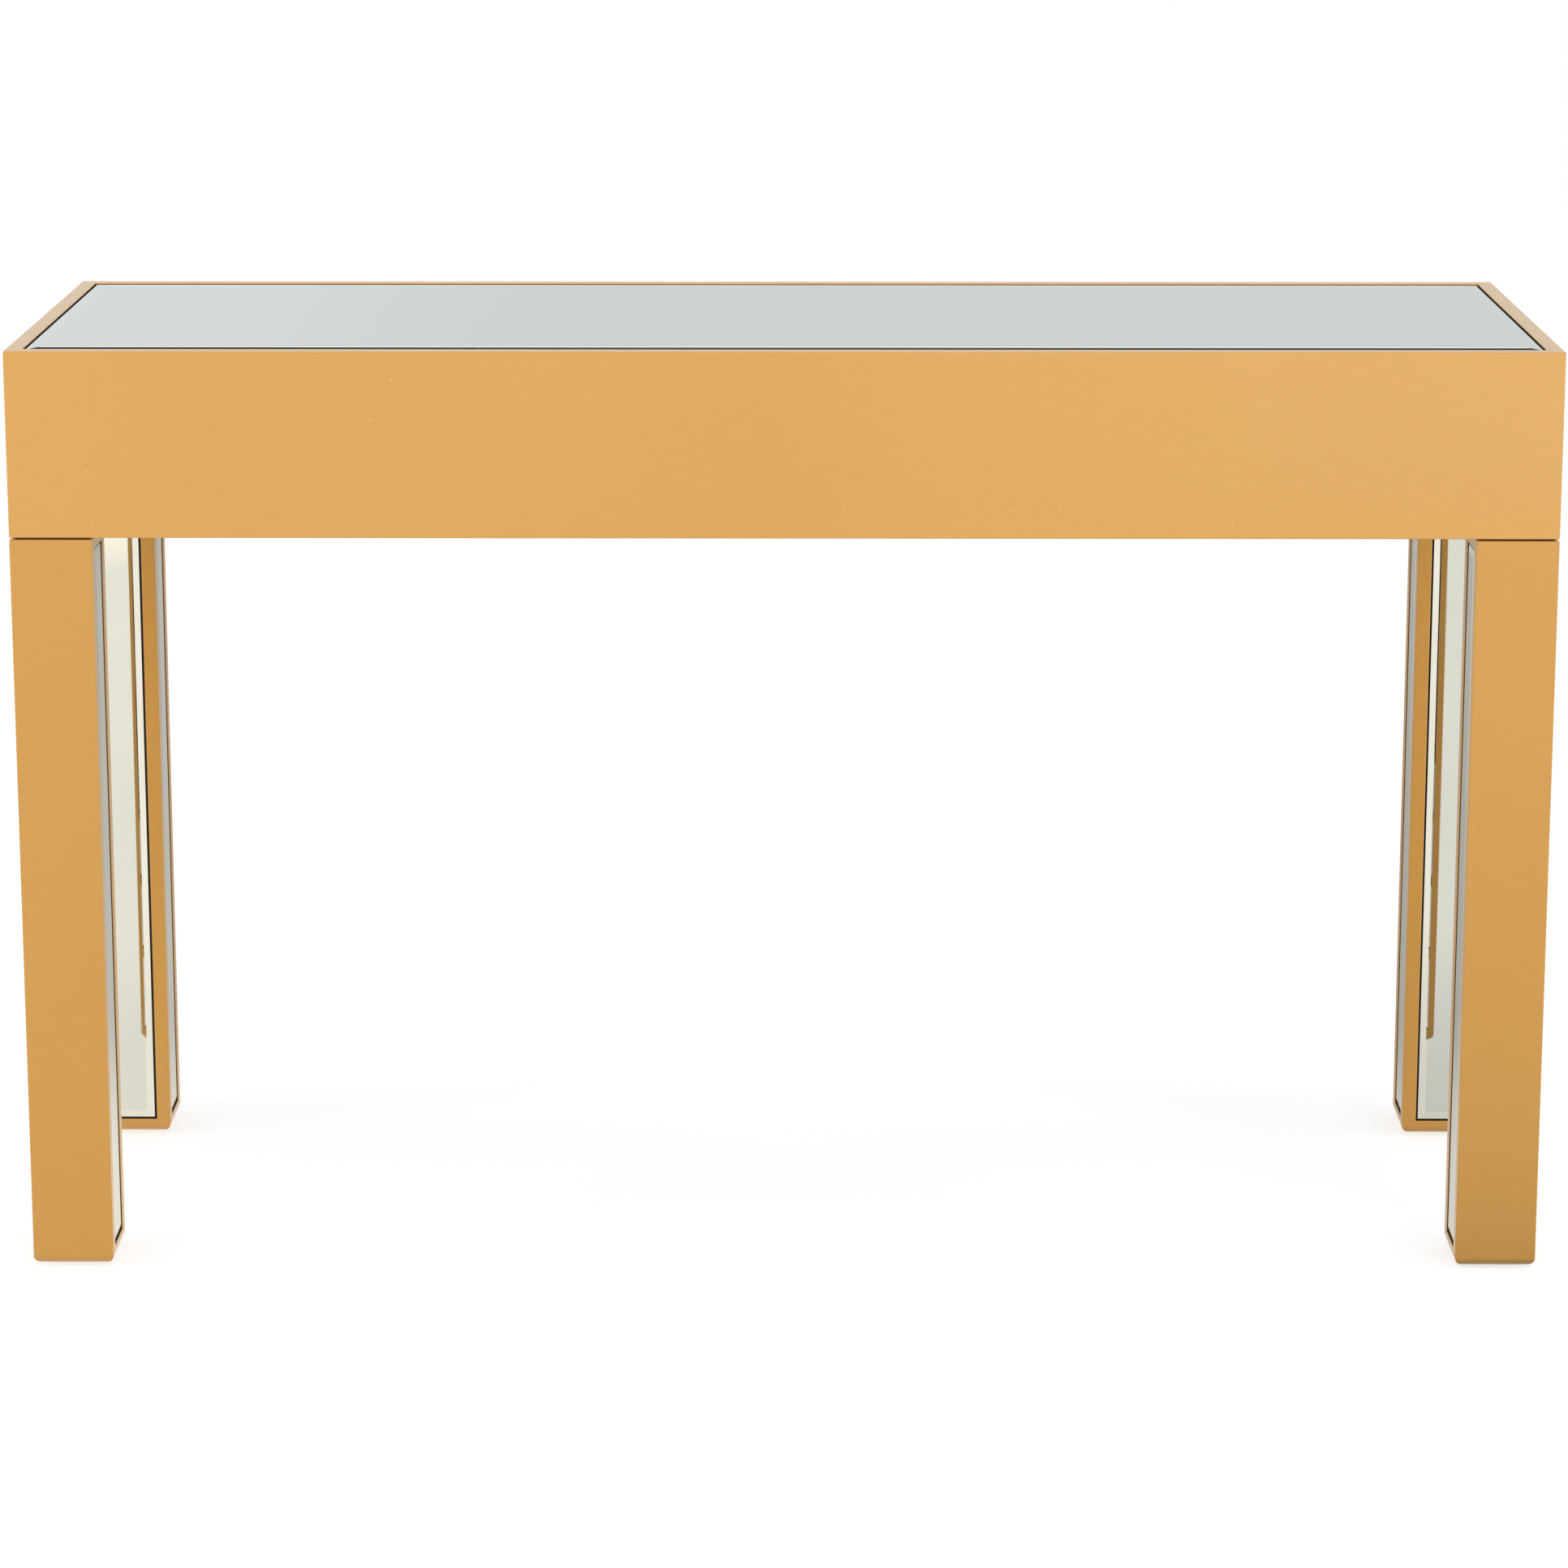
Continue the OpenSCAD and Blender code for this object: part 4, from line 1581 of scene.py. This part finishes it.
        # Darker close behind the table, more on the -X half: the table's painted shadow as mirrors
        # see it.
        back = desk.shaded(back, 1.0 - (1.0 - y.step(0.0, 0.7)) * ((1.0 - across) * 0.14 + 0.08))
        patch = y.step(2.8, 3.8) * (1.0 - x.step(-1.3, 0.2))
        back = desk.blend(patch, back, (0.98, 0.98, 0.96))
        cream = y.step(2.3, 2.7) * (1.0 - y.step(3.0, 3.3)) * x.step(0.72, 0.92)
        back = desk.blend(cream, back, (0.625, 0.575, 0.468))
        front = desk.blend(across, (0.21, 0.205, 0.18), (0.30, 0.29, 0.26))
        front = desk.blend((0.0 - y).step(4.0, 7.0), front, (0.50, 0.50, 0.49))
        colour = desk.blend(y.step(-0.5, 0.0), front, back)
        return desk.shaded(colour, desk.noise(1.6, 2.0) * 0.12 + 0.94)

    def _surroundings(self) -> None:
        """A light room, with a pale strip and a dark card over it on the drawer side.

        The camera itself sees only plain white walls.
        """
        world = bpy.data.worlds.new("studio_room")
        world.use_nodes = True
        desk = PaintDesk(world.node_tree)
        x, y, z = desk.split(desk.node("ShaderNodeTexCoord", out="Generated"))
        front, back = (
            desk.node("ShaderNodeValToRGB", {"stops": stops}, {0: z})
            for stops in (self.drawer_side, self.back_side)
        )
        glare = x.step(0.04, 0.14) * (1.0 - z.step(0.16, 0.22)) * 0.11
        front = desk.blend(glare, front, self.white)
        room = desk.blend(y.step(-0.15, 0.15), front, back)
        facing = (0.0 - y) / self._radius(x, y)
        strip = facing.step(0.85, 0.92) * z.step(0.228, 0.238) * (1.0 - z.step(0.258, 0.272))
        room = desk.blend(strip, room, (0.87, 0.88, 0.88))
        card = facing.step(0.90, 0.95) * z.step(0.300, 0.312) * (1.0 - z.step(0.365, 0.400))
        room = desk.blend(card, room, (0.06, 0.055, 0.05))
        shown = desk.blend(desk.ray("Camera"), room, (0.78, 0.78, 0.78))
        background = desk.node(
            "ShaderNodeBackground", None, {"Color": shown, "Strength": self.room_gain}
        )
        desk.node("ShaderNodeOutputWorld", None, {"Surface": background})
        bpy.context.scene.world = world


@dataclass(frozen=True)
class StudioCamera:
    """The camera, a little above the table and behind its plain back."""

    distance: float = 3.5
    height: float = 1.2706
    aside: float = -0.0187
    pitch: float = math.radians(11.65)
    yaw: float = math.radians(0.303)
    lens: float = 105.8
    sensor: float = 36.0
    far: float = 200.0
    shift: float = -0.12

    def set_up(self) -> None:
        """Places the camera and makes it the scene's own."""
        data = bpy.data.cameras.new("studio_camera")
        data.lens = self.lens
        data.sensor_width = self.sensor
        data.shift_y = self.shift
        data.clip_end = self.far
        camera = bpy.data.objects.new("studio_camera", data)
        bpy.context.scene.collection.objects.link(camera)
        camera.location = (self.aside, CAD_BOX[1][1] + self.distance, self.height)
        look_along(camera, Vector((
            math.sin(self.yaw) * math.cos(self.pitch),
            -math.cos(self.yaw) * math.cos(self.pitch),
            -math.sin(self.pitch),
        )))
        bpy.context.scene.camera = camera
        LOG.info("camera: %.0f mm lens, %.2f m behind the table", self.lens, self.distance)


def main() -> None:
    """Builds the studio and the table, piece by piece."""
    logging.basicConfig(level=logging.INFO, format="%(name)s: %(message)s")
    StudioCamera().set_up()
    Studio().build()
    for assembly in (CaseShell(), InlaidMirrors(), Legs(), Drawers(), Hardware()):
        assembly.build()


if __name__ == "__main__":
    main()
